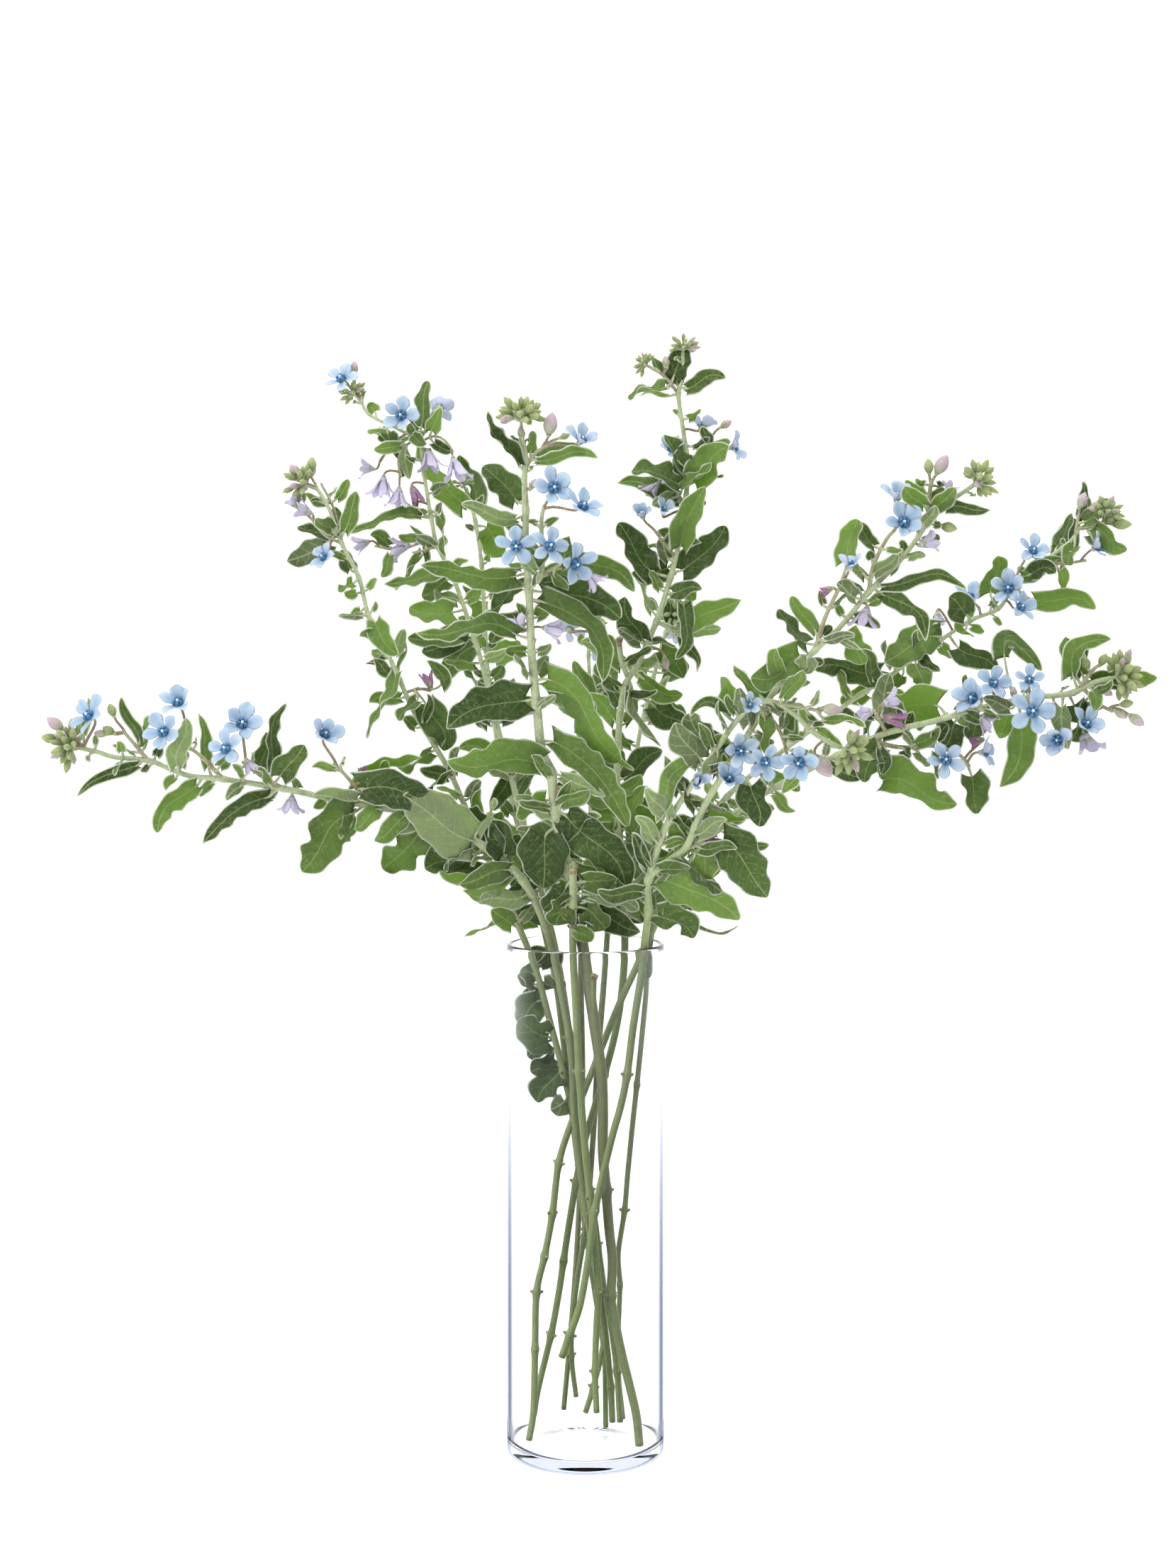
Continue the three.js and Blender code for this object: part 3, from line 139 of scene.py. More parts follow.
# The bunch
# lane: a stem's place from front to back, and depth: how far it is behind the vase's axis
# thick: radius at the cut end, half way and at the tip
# route: (across, up), with a third number of 1 where the stem has a knot
# twigs: (radii, shift in depth, route)
# leaves: (base across, base up, tip across, tip up, width, bow, lift, roll), and a fold if not BLADE_FOLD
# buds: (across, up, length, heading, width, kind)
# heads: (across, up, radius, count), clusters of green buds at a shoot's tip
# blooms: (across, up, shift, radius, yaw, pitch, cup, spin)
STEMS = [
    {
        "name": "front_right",
        "lane": 0,
        "depth": -24.6,
        "thick": (2.2, 2.3, 1.3),
        "route": [
            (-15, 59), (-10, 73, 1), (-4, 90), (0, 110), (3, 130), (6, 152, 1), (11, 175), (17, 200),
            (22, 218), (26, 238, 1), (30, 270), (34.6, 300), (38, 326), (40, 343, 1), (40, 362, 1),
            (49, 371), (63, 382), (70, 396, 1), (77, 412), (92, 436, 1), (108, 462), (123, 486),
            (146, 508, 1), (163, 524), (180, 545, 1), (199, 564), (212, 581), (223, 597, 1), (235, 605),
            (247, 613),
        ],
        "twigs": [
            ((2.2, 1.4), -9, [
                (40, 362), (44, 376), (52, 398), (66, 420), (80, 440), (95, 462), (108, 474), (120, 475),
                (133, 467), (143, 457), (152, 451), (162, 446),
            ]),
            ((1.5, 1), -9, [(118, 476), (136, 472), (150, 469)]),
            ((1.5, 1.1), -4, [(146, 508), (152, 528), (160, 545), (164, 552)]),
            ((1.4, 1.1), -4, [(180, 545), (183, 562), (191, 578), (197, 585)]),
            ((1.4, 1.2), 0, [(217, 590), (218, 603), (220, 616)]),
            ((1.5, 1), 3, [(63, 382), (70, 384), (74, 388)]),
            ((1.3, 1), -12, [(108, 474), (120, 462), (126, 450), (129, 436)]),
        ],
        "leaves": [
            (45, 364, 98, 337, 20, 3, -11, 0), (42, 341, 69, 325, 20, 3, -7, 0),
            (83, 389, 116, 351, 25, 3, -14, 8), (74, 382, 78, 359, 16, 0, -5, 0),
            (81, 384, 87, 354, 9, -3, 4, 50), (74, 436, 45, 398, 12, -9, -14, 20),
            (76, 436, 57, 462, 17, 2, -11, 190), (82, 444, 66, 468, 15, 2, 11, 170),
            (97, 466, 86, 491, 14, 0, 9, 0), (92, 463, 67, 466, 8, -10, -7, 40),
            (114, 477, 94, 499, 9, 2, -11, 30), (104, 426, 110, 396, 20, 2, -14, 0),
            (136, 430, 125, 417, 8, 0, 5, 0), (84, 446, 77, 424, 10, 0, -14, 150),
            (148, 464, 178, 459, 7, 2, -7, 0), (140, 508, 105, 491, 24, 6, -14, 0),
            (145, 511, 122, 534, 14, 3, 5, 30), (147, 515, 157, 523, 8, 0, 9, 20),
            (143, 506, 138, 494, 12, 0, -14, 160), (184, 545, 216, 514, 12, 9, 4, 0),
            (184, 548, 242, 547, 9, 7, -9, 30), (190, 555, 203, 570, 8, 0, 11, 0),
            (177, 541, 160, 551, 13, 2, -14, 160), (166, 560, 173, 591, 15, 2, 7, 0),
            (184, 560, 180, 571, 6, 0, 4, 0), (217, 603, 203, 616, 9, 0, 5, 0),
            (225, 593, 257, 597, 9, 4, -9, 0), (214, 584, 222, 600, 8, 0, -11, 170),
            (220, 592, 228, 611, 9, 2, 7, 170), (60, 334, 97, 333, 6, -3, 9, 60),
            (128, 490, 104, 482, 12, 2, 16, 20),
        ],
        "buds": [
            (218, 625, 10, 95, 6, "green"), (227, 627, 17, 60, 8, "pink"),
            (177, 528, 16, -105, 10, "lilac"), (219, 577, 15, 20, 9, "lilac"),
            (153, 546, 9, 200, 6, "withered"), (79, 388, 10, -20, 8, "withered"),
            (232, 611, 12, 70, 6, "lilac"), (231, 586, 11, -10, 7, "green"), (158, 470, 16, -8, 9, "pink"),
            (152, 433, 20, -55, 11, "pink"),
        ],
        "heads": [(250, 616, 8, 7), (168, 444, 9, 8)],
        "blooms": [
            (168, 562, -16, 11, 10, 50, 35, 0), (202, 589, -10, 14, 10, 5, 20, 40),
            (198, 605, -2, 12, 20, 60, 45, 10), (104, 473, -18, 9, 35, 0, 20, 20),
            (98, 444, -20, 13, 0, 10, 5, 30), (114, 437, -28, 13, 10, -15, 10, 0),
            (91, 426, -22, 12, 0, 5, 10, 50), (71, 424, -20, 10, -10, 10, 40, 20),
            (136, 437, -22, 14, -20, -15, 30, 10),
        ],
    },
    {
        "name": "front_short",
        "lane": 1,
        "depth": -19.9,
        "thick": (1.9, 2.3, 2.3),
        "route": [
            (7, 24), (6, 50, 1), (7, 80), (8, 100, 1), (6, 130), (3, 160, 1), (-1, 200), (-4, 240, 1),
            (-6, 280), (-8, 318), (-8, 345, 1), (-8, 372),
        ],
        "twigs": [
            ((1.8, 2), 2, [(-5, 290), (-8, 312), (-8, 331)]),
        ],
        "leaves": [
            (-3, 353, 34, 343, 13, 3, -7, 165), (-12, 349, -19, 333, 19, 0, -7, 0),
            (-4, 360, 20, 363, 16, 0, -4, 0), (-4, 345, 13, 331, 18, 2, -5, 0),
            (-3, 339, 35, 329, 16, 3, 4, 0), (-12, 362, -27, 343, 16, 3, 5, 0),
            (-10, 333, 4, 323, 10, 0, -5, 0),
        ],
        "buds": [],
        "heads": [],
        "blooms": [],
    },
    {
        "name": "centre",
        "lane": 2,
        "depth": -14.5,
        "thick": (2.6, 3.7, 1.7),
        "route": [
            (34, 2.8), (32, 22), (28, 40), (22, 65), (17, 90), (16, 98, 1), (17, 120), (15, 140),
            (13, 165, 1), (11, 190), (11, 215), (10, 240), (6, 268), (2, 295), (-2, 322), (-7, 350),
            (-12, 372), (-19, 403), (-22, 430, 1), (-28, 445), (-31, 474, 1), (-34, 503), (-36, 546, 1),
            (-38, 572), (-38, 597, 1), (-39, 617), (-38, 628, 1), (-41, 645),
        ],
        "twigs": [
            ((2, 1.2), -3, [(-35, 549), (-28, 556), (-28, 590), (-26, 600)]),
            ((1.9, 2.1), -3, [(8, 256), (5, 280), (5, 302)]),
            ((1.8, 2), -2, [(-20, 400), (-17, 412), (-16, 421)]),
            ((1.3, 1), -2, [(-36, 625), (-31, 634), (-24, 638)]),
            ((1.2, 1), -3, [(-36, 508), (-32, 515)]),
            ((1.3, 1), -5, [(-28, 554), (-20, 560), (-12, 560)]),
        ],
        "leaves": [
            (-40, 622, -62, 660, 12, 3, -7, 30, 40), (-35, 628, 8, 630, 8, 3, -7, 0),
            (-42, 599, -65, 625, 18, -2, 7, 0), (-40, 593, -79, 601, 10, 3, -14, 150),
            (-40, 556, -105, 562, 16, 3, -14, 0), (-16, 571, 31, 545, 13, 4, 11, 0),
            (-32, 545, 22, 528, 20, 6, 9, 0), (-32, 540, 11, 488, 18, 15, -11, 0),
            (-29, 491, 22, 437, 20, 5, -5, 0), (-28, 478, 31, 432, 12, 6, 11, 30),
            (-25, 452, 27, 396, 18, 8, -14, 0), (-19, 430, 13, 415, 9, 0, -14, 150),
            (-15, 406, 26, 355, 22, 5, -9, 0), (-34, 476, -88, 458, 24, -6, -11, 0),
            (-27, 434, -88, 438, 24, 0, -14, 0), (-25, 394, -27, 357, 32, 0, -22, 0),
            (-39, 530, -60, 512, 14, -2, 14, 0), (-40, 514, -108, 519, 13, -6, -16, 0),
            (-40, 551, -60, 533, 16, 0, 16, 0), (-21, 414, -44, 402, 14, 0, 5, 0),
        ],
        "buds": [
            (-22, 653, 18, 80, 11, "pink"), (-13, 644, 7, 20, 5, "green"), (-33, 614, 9, 60, 7, "pink"),
            (-41, 647, 10, 100, 7, "pink"), (-43, 527, 15, 110, 9, "lilac"),
            (-20, 521, 15, -10, 10, "lilac"), (6, 552, 14, -50, 8, "lilac"),
        ],
        "heads": [(-41, 658, 9, 9)],
        "blooms": [
            (-3, 641, -6, 13, 30, 25, 15, 0), (-20, 611, -14, 15, 0, 10, 5, 36),
            (-2, 599, -20, 14, 25, 15, 10, 0), (-44, 574, -17, 14, -10, 5, 5, 20),
            (-23, 574, -24, 14, 5, 15, 0, 0), (-7, 563, -14, 15, 20, -10, 10, 30),
        ],
    },
    {
        "name": "left_low",
        "lane": 3,
        "depth": -8.8,
        "thick": (2, 2.6, 1.4),
        "route": [
            (17, 18), (16, 40, 1), (13, 70), (9, 100, 1), (5, 125), (1, 150, 1), (-3, 178), (-7, 215),
            (-8, 240), (-10, 262, 1), (-15, 290), (-21, 318), (-29, 342), (-40, 362, 1), (-50, 372),
            (-64, 383, 1), (-95, 401), (-130, 408, 1), (-159, 413), (-192, 420, 1), (-230, 426, 1),
            (-251, 428), (-265, 433), (-278, 438, 1), (-299, 440), (-309, 443), (-322, 446),
        ],
        "twigs": [
            ((1.4, 1), -3, [(-278, 438), (-288, 450), (-294, 457)]),
            ((1.5, 1), -5, [(-230, 426), (-246, 442), (-255, 448)]),
            ((1.5, 1), -6, [(-192, 420), (-206, 428), (-218, 437)]),
            ((1.4, 1), -4, [(-138, 410), (-152, 428), (-160, 436)]),
        ],
        "leaves": [
            (-280, 436, -323, 415, 8, -4, -9, 10), (-283, 446, -295, 478, 7, 0, 9, 20),
            (-257, 430, -254, 465, 12, 2, -22, 200), (-238, 430, -246, 468, 9, 0, 11, 0),
            (-243, 424, -272, 392, 12, -6, -11, 10), (-197, 415, -243, 385, 12, -6, -14, 10),
            (-198, 428, -190, 474, 10, 6, 9, 20), (-196, 424, -179, 448, 15, 0, -18, 10),
            (-206, 426, -203, 456, 12, 0, 16, 20), (-318, 450, -316, 478, 6, 0, 7, 0),
            (-148, 417, -91, 405, 22, 8, -23, 0), (-142, 405, -180, 367, 26, -6, -16, 0),
            (-146, 414, -104, 440, 11, 10, 11, 20), (-120, 410, -137, 431, 13, -3, 11, 15),
            (-104, 405, -84, 432, 11, 5, 14, 30), (-68, 386, -116, 416, 30, 2, -27, 185),
            (-102, 400, -129, 369, 24, 3, 5, 5), (-68, 379, -102, 369, 24, 0, 7, 0),
            (-50, 374, -61, 400, 18, -2, -5, 0), (-60, 386, -82, 410, 18, 0, 14, 0),
            (-45, 364, -78, 355, 15, 6, -9, 45, 45), (-50, 361, -77, 362, 10, 0, 7, 0),
            (-54, 380, -42, 391, 9, 0, 9, 30),
        ],
        "buds": [
            (-338, 462, 15, 145, 7, "pink"), (-341, 452, 10, 170, 6, "green"),
            (-309, 455, 10, 175, 6, "pink"), (-301, 470, 9, 110, 6, "green"),
            (-303, 457, 9, 150, 6, "green"), (-213, 434, 11, -60, 8, "lilac"),
            (-187, 409, 14, -95, 9, "lilac"), (-141, 430, 8, 100, 6, "withered"),
            (-124, 427, 7, 90, 5, "withered"),
        ],
        "heads": [(-328, 447, 9, 9)],
        "blooms": [
            (-315, 466, -6, 15, -25, 20, 10, 0), (-259, 474, -10, 14, -10, 25, 15, 20),
            (-268, 456, -20, 14, -20, 0, 10, 50), (-218, 461, -12, 15, 10, 25, 15, 0),
            (-228, 445, -26, 14, -15, 5, 10, 30), (-166, 454, -8, 14, 20, 30, 35, 0),
        ],
    },
    {
        "name": "right_low",
        "lane": 4,
        "depth": -4,
        "thick": (2.1, 2.2, 1.8),
        "route": [
            (-36, 6.2), (-33, 25), (-32, 64, 1), (-31, 100, 1), (-26, 123, 1), (-21, 150, 1), (-17, 182, 1),
            (-10, 205), (-2, 225), (8, 250, 1), (20, 280), (31, 304), (39, 322), (50, 345), (66, 372),
            (85, 395, 1), (104, 411), (130, 426), (160, 441, 1), (180, 451), (200, 458, 1), (222, 463),
            (250, 471, 1), (283, 478, 1), (297, 479), (310, 481, 1), (322, 487), (334, 490),
        ],
        "twigs": [
            ((1.6, 1.1), 2, [(180, 451), (195, 447), (207, 446), (222, 447), (238, 441), (244, 434)]),
            ((1.5, 1.1), -3, [(314, 483), (321, 494), (327, 499)]),
            ((1.4, 1.1), -3, [(316, 484), (326, 474), (335, 469)]),
            ((1.4, 1), -5, [(232, 466), (244, 472), (252, 478)]),
            ((1.3, 1), -5, [(192, 455), (187, 463), (184, 468)]),
        ],
        "leaves": [
            (312, 485, 334, 515, 12, 14, -11, 0), (314, 487, 319, 513, 9, 3, 9, 0),
            (304, 476, 307, 445, 12, -3, -16, 160), (308, 477, 315, 462, 18, 0, 5, 0),
            (319, 486, 323, 469, 9, 3, -7, 0), (332, 489, 363, 491, 12, 0, 9, 0),
            (271, 485, 290, 495, 14, 27, 9, 0), (276, 470, 252, 477, 11, 0, -20, 170),
            (228, 472, 184, 469, 26, -2, 27, 0), (238, 465, 227, 446, 22, 0, 16, 0),
            (248, 468, 247, 450, 14, 0, 11, 0), (244, 432, 249, 404, 20, 0, -11, 0),
            (184, 424, 236, 410, 24, 3, -16, 0), (192, 451, 177, 424, 20, -3, -16, 0),
            (199, 447, 207, 441, 9, 0, -7, 0), (270, 471, 263, 452, 13, 0, 7, 0),
            (276, 465, 263, 421, 16, 7, -9, 10), (58, 359, 44, 384, 15, 2, 9, 0),
            (74, 384, 60, 404, 14, 2, 9, 0),
        ],
        "buds": [
            (272, 482, 9, 90, 7, "pink"), (329, 502, 9, 60, 8, "green"), (332, 481, 10, -30, 7, "pink"),
            (341, 467, 11, -30, 9, "pink"), (351, 463, 14, -35, 8, "pink"), (344, 474, 9, 10, 7, "green"),
            (318, 500, 9, 110, 7, "green"), (319, 448, 16, -70, 13, "lilac"),
            (197, 464, 17, -10, 11, "withered"), (196, 476, 15, 20, 10, "lilac"),
            (177, 468, 13, 190, 9, "lilac"), (248, 450, 9, -160, 8, "withered"),
            (255, 462, 13, -40, 10, "lilac"),
        ],
        "heads": [(341, 492, 10, 11)],
        "blooms": [
            (246, 477, -20, 15, -10, 5, 5, 20), (259, 487, -12, 13, 10, 20, 5, 0),
            (282, 489, -12, 11, 0, 15, 0, 15), (284, 469, -20, 16, 5, -5, 0, 0),
            (300, 451, -18, 14, -10, -25, 20, 36), (318, 461, -10, 14, 15, 10, 15, 60),
            (229, 438, -10, 14, 0, 10, 10, 45), (253, 443, -8, 12, 50, 0, 20, 10),
        ],
    },
    {
        "name": "left_middle",
        "lane": 5,
        "depth": 0.5,
        "thick": (2, 2.1, 1.2),
        "route": [
            (22, 18), (20, 50, 1), (16, 80), (12, 97, 1), (8, 130), (3, 165, 1), (-2, 182), (-8, 212),
            (-14, 240, 1), (-22, 270), (-30, 300), (-38, 322), (-46, 340, 1), (-52, 354), (-66, 385, 1),
            (-78, 412), (-88, 434), (-108, 467), (-118, 489, 1), (-130, 515), (-138, 530, 1),
            (-144, 554, 1), (-155, 576, 1), (-163, 598), (-172, 613),
        ],
        "twigs": [
            ((1.1, 0.9), -3, [(-155, 577), (-164, 580), (-171, 587), (-174, 592)]),
            ((1, 0.8), 3, [(-154, 574), (-160, 598), (-168, 614)]),
            ((1.1, 0.9), 3, [(-114, 482), (-106, 484)]),
        ],
        "leaves": [
            (-135, 530, -119, 505, 14, -3, -9, 0), (-139, 536, -149, 528, 7, 0, 5, 0),
            (-158, 581, -171, 592, 11, 0, -9, 10), (-146, 556, -156, 571, 10, 0, 9, 20),
            (-144, 553, -157, 545, 11, 0, -9, 20), (-121, 499, -139, 452, 12, 3, -11, 20),
            (-121, 502, -136, 508, 7, 0, 7, 150), (-103, 478, -90, 444, 20, 3, -5, 0),
            (-103, 482, -119, 463, 10, 0, -11, 10), (-103, 481, -101, 501, 9, -12, 11, 40),
            (-19, 262, -42, 274, 20, 3, -5, 0), (-15, 246, -35, 240, 20, 0, 7, 0),
            (-11, 226, -22, 216, 12, 2, -5, 160), (-30, 300, -41, 306, 17, 0, 4, 0),
            (-43, 331, -60, 343, 13, 0, -4, 0), (-54, 341, -77, 326, 7, 3, -7, 60),
            (-50, 349, -62, 362, 9, 0, 7, 20),
        ],
        "buds": [
            (-186, 623, 10, 110, 6, "pink"), (-174, 626, 10, 85, 6, "green"),
            (-180, 597, 13, 160, 9, "lilac"), (-186, 602, 9, 130, 7, "lilac"),
            (-100, 489, 12, 110, 8, "withered"),
        ],
        "heads": [(-180, 614, 8, 8)],
        "blooms": [(-166, 567, -8, 12, -20, 10, 15, 0)],
    },
    {
        "name": "top",
        "lane": 6,
        "depth": 5.1,
        "thick": (2, 2.4, 1.3),
        "route": [
            (-33, 22), (-30, 40), (-22, 73, 1), (-17, 100), (-14, 120, 1), (-11, 140), (-6, 170, 1),
            (-2, 190), (4, 212), (12, 238, 1), (19, 265), (23, 290), (25, 318), (24, 350), (22, 385),
            (20, 425), (22, 467, 1), (26, 487, 1), (34, 501), (45, 526, 1), (54, 554, 1), (60, 580),
            (64, 606, 1), (65, 628), (62, 648), (59, 671, 1), (62, 681), (62, 697),
        ],
        "twigs": [
            ((1.7, 1.9), -3, [(27, 489), (23, 501), (21, 516)]),
            ((1.2, 1), -3, [(59, 671), (52, 680), (44, 687)]),
            ((1.2, 1), -4, [(57, 566), (50, 576), (44, 584)]),
            ((1.2, 1), 4, [(64, 612), (74, 630), (80, 638)]),
            ((1.2, 1), 5, [(63, 600), (56, 612), (50, 622)]),
        ],
        "leaves": [
            (61, 673, 89, 681, 10, 3, -5, 10), (57, 674, 43, 694, 9, 1, 7, 0),
            (57, 671, 34, 669, 4, -1, -5, 30), (63, 612, 29, 621, 17, -3, -14, 10),
            (66, 611, 91, 638, 20, 2, -9, 0), (61, 603, 20, 614, 12, -3, 9, 0),
            (60, 569, 76, 612, 17, 3, -18, 0), (45, 556, 21, 589, 18, 2, -5, 0),
            (56, 563, 29, 557, 14, 3, 11, 0), (38, 510, 25, 542, 16, 2, -9, 0),
            (46, 530, 32, 556, 9, 2, 9, 160), (58, 556, 89, 587, 18, -3, 7, 0),
            (62, 519, 99, 540, 14, 3, -7, 0), (62, 541, 57, 502, 11, 5, -16, 0),
            (55, 546, 70, 540, 10, 2, 5, 0), (31, 489, 48, 447, 10, -6, -11, 50, 40),
            (34, 492, 62, 480, 12, -4, -5, 0), (42, 476, 67, 460, 16, -3, 9, 0),
            (44, 510, 62, 490, 14, 3, 11, 0), (21, 468, 14, 494, 9, 0, 7, 0),
            (27, 496, 14, 518, 12, 2, 9, 0), (60, 520, 71, 494, 8, 2, -11, 20),
            (22, 400, 50, 384, 20, 4, 4, 0), (22, 395, 2, 376, 16, -3, 7, 0),
        ],
        "buds": [
            (51, 692, 9, 100, 6, "pink"), (90, 652, 10, 30, 6, "pink"), (51, 499, 10, -80, 6, "pink"),
            (42, 609, 14, 230, 9, "lilac"),
        ],
        "heads": [(62, 701, 6, 6), (37, 690, 5, 6)],
        "blooms": [
            (74, 650, 8, 13, 150, 40, 25, 0), (94, 637, 0, 12, 60, 10, 20, 20),
            (55, 635, 2, 12, -20, 40, 30, 0), (49, 610, 12, 11, 165, -30, 30, 20),
            (36, 594, -6, 10, -20, 40, 45, 0), (50, 597, -12, 10, 20, 50, 45, 30),
        ],
    },
    {
        "name": "right_middle",
        "lane": 7,
        "depth": 12.6,
        "thick": (1.6, 1.9, 1.2),
        "route": [
            (24, 20), (21, 50, 1), (21, 75), (22, 105, 1), (21, 125), (25, 152, 1), (27, 175), (30, 205),
            (33, 232, 1), (36, 260), (39, 290), (40.6, 318), (48, 352), (66, 385), (90, 415, 1), (120, 440),
            (150, 462), (175, 480, 1), (190, 489), (207, 502, 1), (225, 514, 1), (245, 527, 1),
            (262, 534, 1), (270, 545), (277, 553), (295, 567, 1), (308, 577), (313, 584),
        ],
        "twigs": [
            ((1.2, 0.9), 0, [(313, 584), (313, 592), (314, 598)]),
            ((1.3, 1), 0, [(313, 584), (320, 588), (327, 593)]),
            ((1.2, 1), -3, [(290, 561), (304, 563), (318, 565)]),
            ((1.1, 0.9), -4, [(272, 548), (275, 558), (279, 565)]),
            ((1.1, 0.9), -3, [(252, 530), (250, 536)]),
            ((1.1, 0.9), 0, [(313, 584), (322, 586), (331, 588)]),
        ],
        "leaves": [
            (192, 496, 145, 496, 16, 0, -9, 0), (178, 489, 172, 524, 15, 2, 11, 0),
            (183, 482, 163, 473, 12, -2, 9, 0), (229, 516, 190, 500, 20, -4, -11, 0),
            (246, 528, 231, 542, 18, 0, -14, 0), (244, 525, 240, 518, 13, 0, -7, 0),
            (210, 504, 214, 484, 14, 0, 9, 185), (202, 496, 198, 484, 10, 0, 5, 0),
            (258, 540, 262, 568, 17, 0, 9, 0), (279, 554, 299, 557, 12, 4, -11, 10),
            (296, 570, 309, 595, 10, -2, 9, 0), (312, 578, 306, 562, 12, 0, -9, 0),
            (281, 541, 324, 534, 13, 3, 9, 0), (234, 513, 261, 496, 15, 0, -13, 0),
        ],
        "buds": [
            (316, 604, 13, 70, 7, "pink"), (325, 600, 12, 45, 9, "pink"), (341, 588, 13, 0, 7, "green"),
            (333, 591, 8, 20, 5, "green"), (224, 527, 12, -85, 8, "lilac"),
        ],
        "heads": [(331, 596, 8, 8)],
        "blooms": [
            (244, 541, 12, 14, -30, 20, 20, 0), (269, 547, -8, 15, -5, 10, 5, 20),
            (276, 535, -20, 13, 20, 10, 20, 0), (284, 571, -10, 13, 0, 25, 25, 0),
            (324, 573, -8, 13, 25, 15, 25, 30),
        ],
    },
    {
        "name": "left_top",
        "lane": 8,
        "depth": 13.5,
        "thick": (1.8, 2.1, 1.1),
        "route": [
            (0, 24), (5, 40, 1), (10, 60), (12, 75, 1), (12, 100), (8, 130, 1), (3, 160), (-2, 195),
            (-7, 235, 1), (-12, 278), (-19, 318), (-28, 355), (-40, 400, 1), (-52, 445), (-60, 475, 1),
            (-66, 500), (-72, 520), (-84, 554, 1), (-94, 574), (-98, 592, 1), (-103, 622), (-106, 640, 1),
            (-120, 649), (-138, 658), (-143, 668),
        ],
        "twigs": [
            ((1, 0.8), -3, [(-106, 640), (-96, 644), (-89, 641), (-84, 634)]),
            ((1, 0.8), -4, [(-108, 641), (-116, 636), (-119, 627), (-117, 618)]),
            ((1, 0.8), 3, [(-114, 646), (-124, 638), (-130, 628)]),
            ((1, 0.8), -2, [(-94, 573), (-104, 571), (-110, 570)]),
            ((1, 0.8), 2, [(-97, 580), (-118, 572), (-134, 574)]),
            ((1, 0.8), 2, [(-106, 640), (-100, 650)]),
        ],
        "leaves": [
            (-131, 656, -138, 665, 8, 0, 5, 0), (-126, 650, -124, 636, 12, 0, -7, 0),
            (-106, 646, -100, 679, 11, 0, 9, 0), (-114, 646, -101, 639, 9, 0, -7, 0),
            (-100, 591, -153, 583, 10, -4, -11, 10), (-96, 597, -89, 567, 9, 2, -9, 30),
            (-90, 561, -128, 550, 11, 3, -9, 0), (-84, 554, -104, 542, 14, 0, 11, 10),
            (-80, 533, -112, 535, 18, 3, -11, 0), (-77, 522, -104, 507, 18, 3, 9, 0),
            (-76, 518, -113, 516, 11, 3, -9, 0), (-49, 430, -58, 406, 12, 0, 7, 0),
        ],
        "buds": [
            (-147, 688, 11, 85, 7, "pink"), (-99, 627, 17, -80, 11, "lilac"),
            (-82, 622, 18, -75, 11, "lilac"), (-119, 604, 15, -95, 10, "lilac"),
            (-108, 606, 14, -70, 9, "withered"), (-129, 610, 18, -95, 10, "lilac"),
            (-140, 624, 12, 170, 8, "lilac"), (-108, 596, 9, -80, 7, "withered"),
            (-119, 573, 15, 190, 10, "lilac"), (-143, 575, 13, 200, 8, "lilac"),
        ],
        "heads": [(-148, 672, 6, 6)],
        "blooms": [
            (-155, 680, -6, 14, -20, 10, 10, 0), (-117, 657, -10, 15, -5, 5, 5, 0),
            (-93, 662, -4, 13, 165, 15, 25, 20),
        ],
    },
    {
        "name": "back_right",
        "lane": 9,
        "depth": 17.7,
        "thick": (1.6, 2, 1.2),
        "route": [
            (-6, 34), (-9, 60, 1), (-8, 85), (-5, 110), (-1, 135, 1), (2, 160), (5, 200), (8, 250, 1),
            (12, 300), (15, 340), (20, 380, 1), (27, 412), (32, 440, 1), (36, 463), (43, 490, 1), (48, 510),
            (54, 528),
        ],
        "twigs": [
            ((1.2, 0.9), 6, [(50, 515), (58, 526), (62, 534)]),
        ],
        "leaves": [
            (38, 464, 64, 468, 17, 3, 18, 0), (45, 493, 66, 498, 13, 0, 18, 0),
            (43, 492, 26, 503, 13, 0, 14, 0), (28, 412, 46, 394, 18, 0, 14, 0),
            (22, 386, 46, 378, 18, 0, 9, 0), (16, 350, 36, 356, 14, 0, 5, 0),
        ],
        "buds": [(66, 540, 9, 60, 6, "green")],
        "heads": [(56, 532, 7, 7)],
        "blooms": [(58, 518, 22, 13, 170, 10, 10, 0)],
    },
    {
        "name": "back_left",
        "lane": 10,
        "depth": 21.8,
        "thick": (1.7, 2, 1.3),
        "route": [
            (13, 14.6), (12, 60, 1), (6, 100), (0, 140, 1), (-6, 190), (-12, 240, 1), (-18, 290),
            (-24, 320), (-34, 362), (-46, 408, 1), (-56, 450), (-62, 493, 1), (-64, 528), (-66, 562, 1),
            (-70, 590, 1), (-76, 611),
        ],
        "twigs": [],
        "leaves": [
            (-73, 598, -107, 639, 16, 3, -11, 0), (-71, 598, -80, 632, 14, -2, 9, 0),
            (-68, 588, -52, 568, 18, 2, 5, 0), (-66, 512, -92, 488, 16, -4, 9, 0),
            (-61, 500, -42, 514, 15, 0, 14, 0), (-66, 524, -72, 541, 14, 0, 9, 0),
            (-62, 492, -68, 474, 12, 0, 11, 0), (-50, 424, -34, 440, 18, 0, 14, 0),
            (-58, 462, -76, 474, 16, 0, 14, 0),
        ],
        "buds": [],
        "heads": [(-78, 614, 5, 5)],
        "blooms": [],
    },
    {
        "name": "back",
        "lane": 11,
        "depth": 25.9,
        "thick": (1.7, 2, 1.2),
        "route": [
            (-14, 26), (-10, 70, 1), (-6, 120), (-3, 180, 1), (-2, 240), (-3, 300), (-2, 340), (2, 385, 1),
            (4, 430), (4, 470, 1), (2, 505, 1), (4, 522),
        ],
        "twigs": [
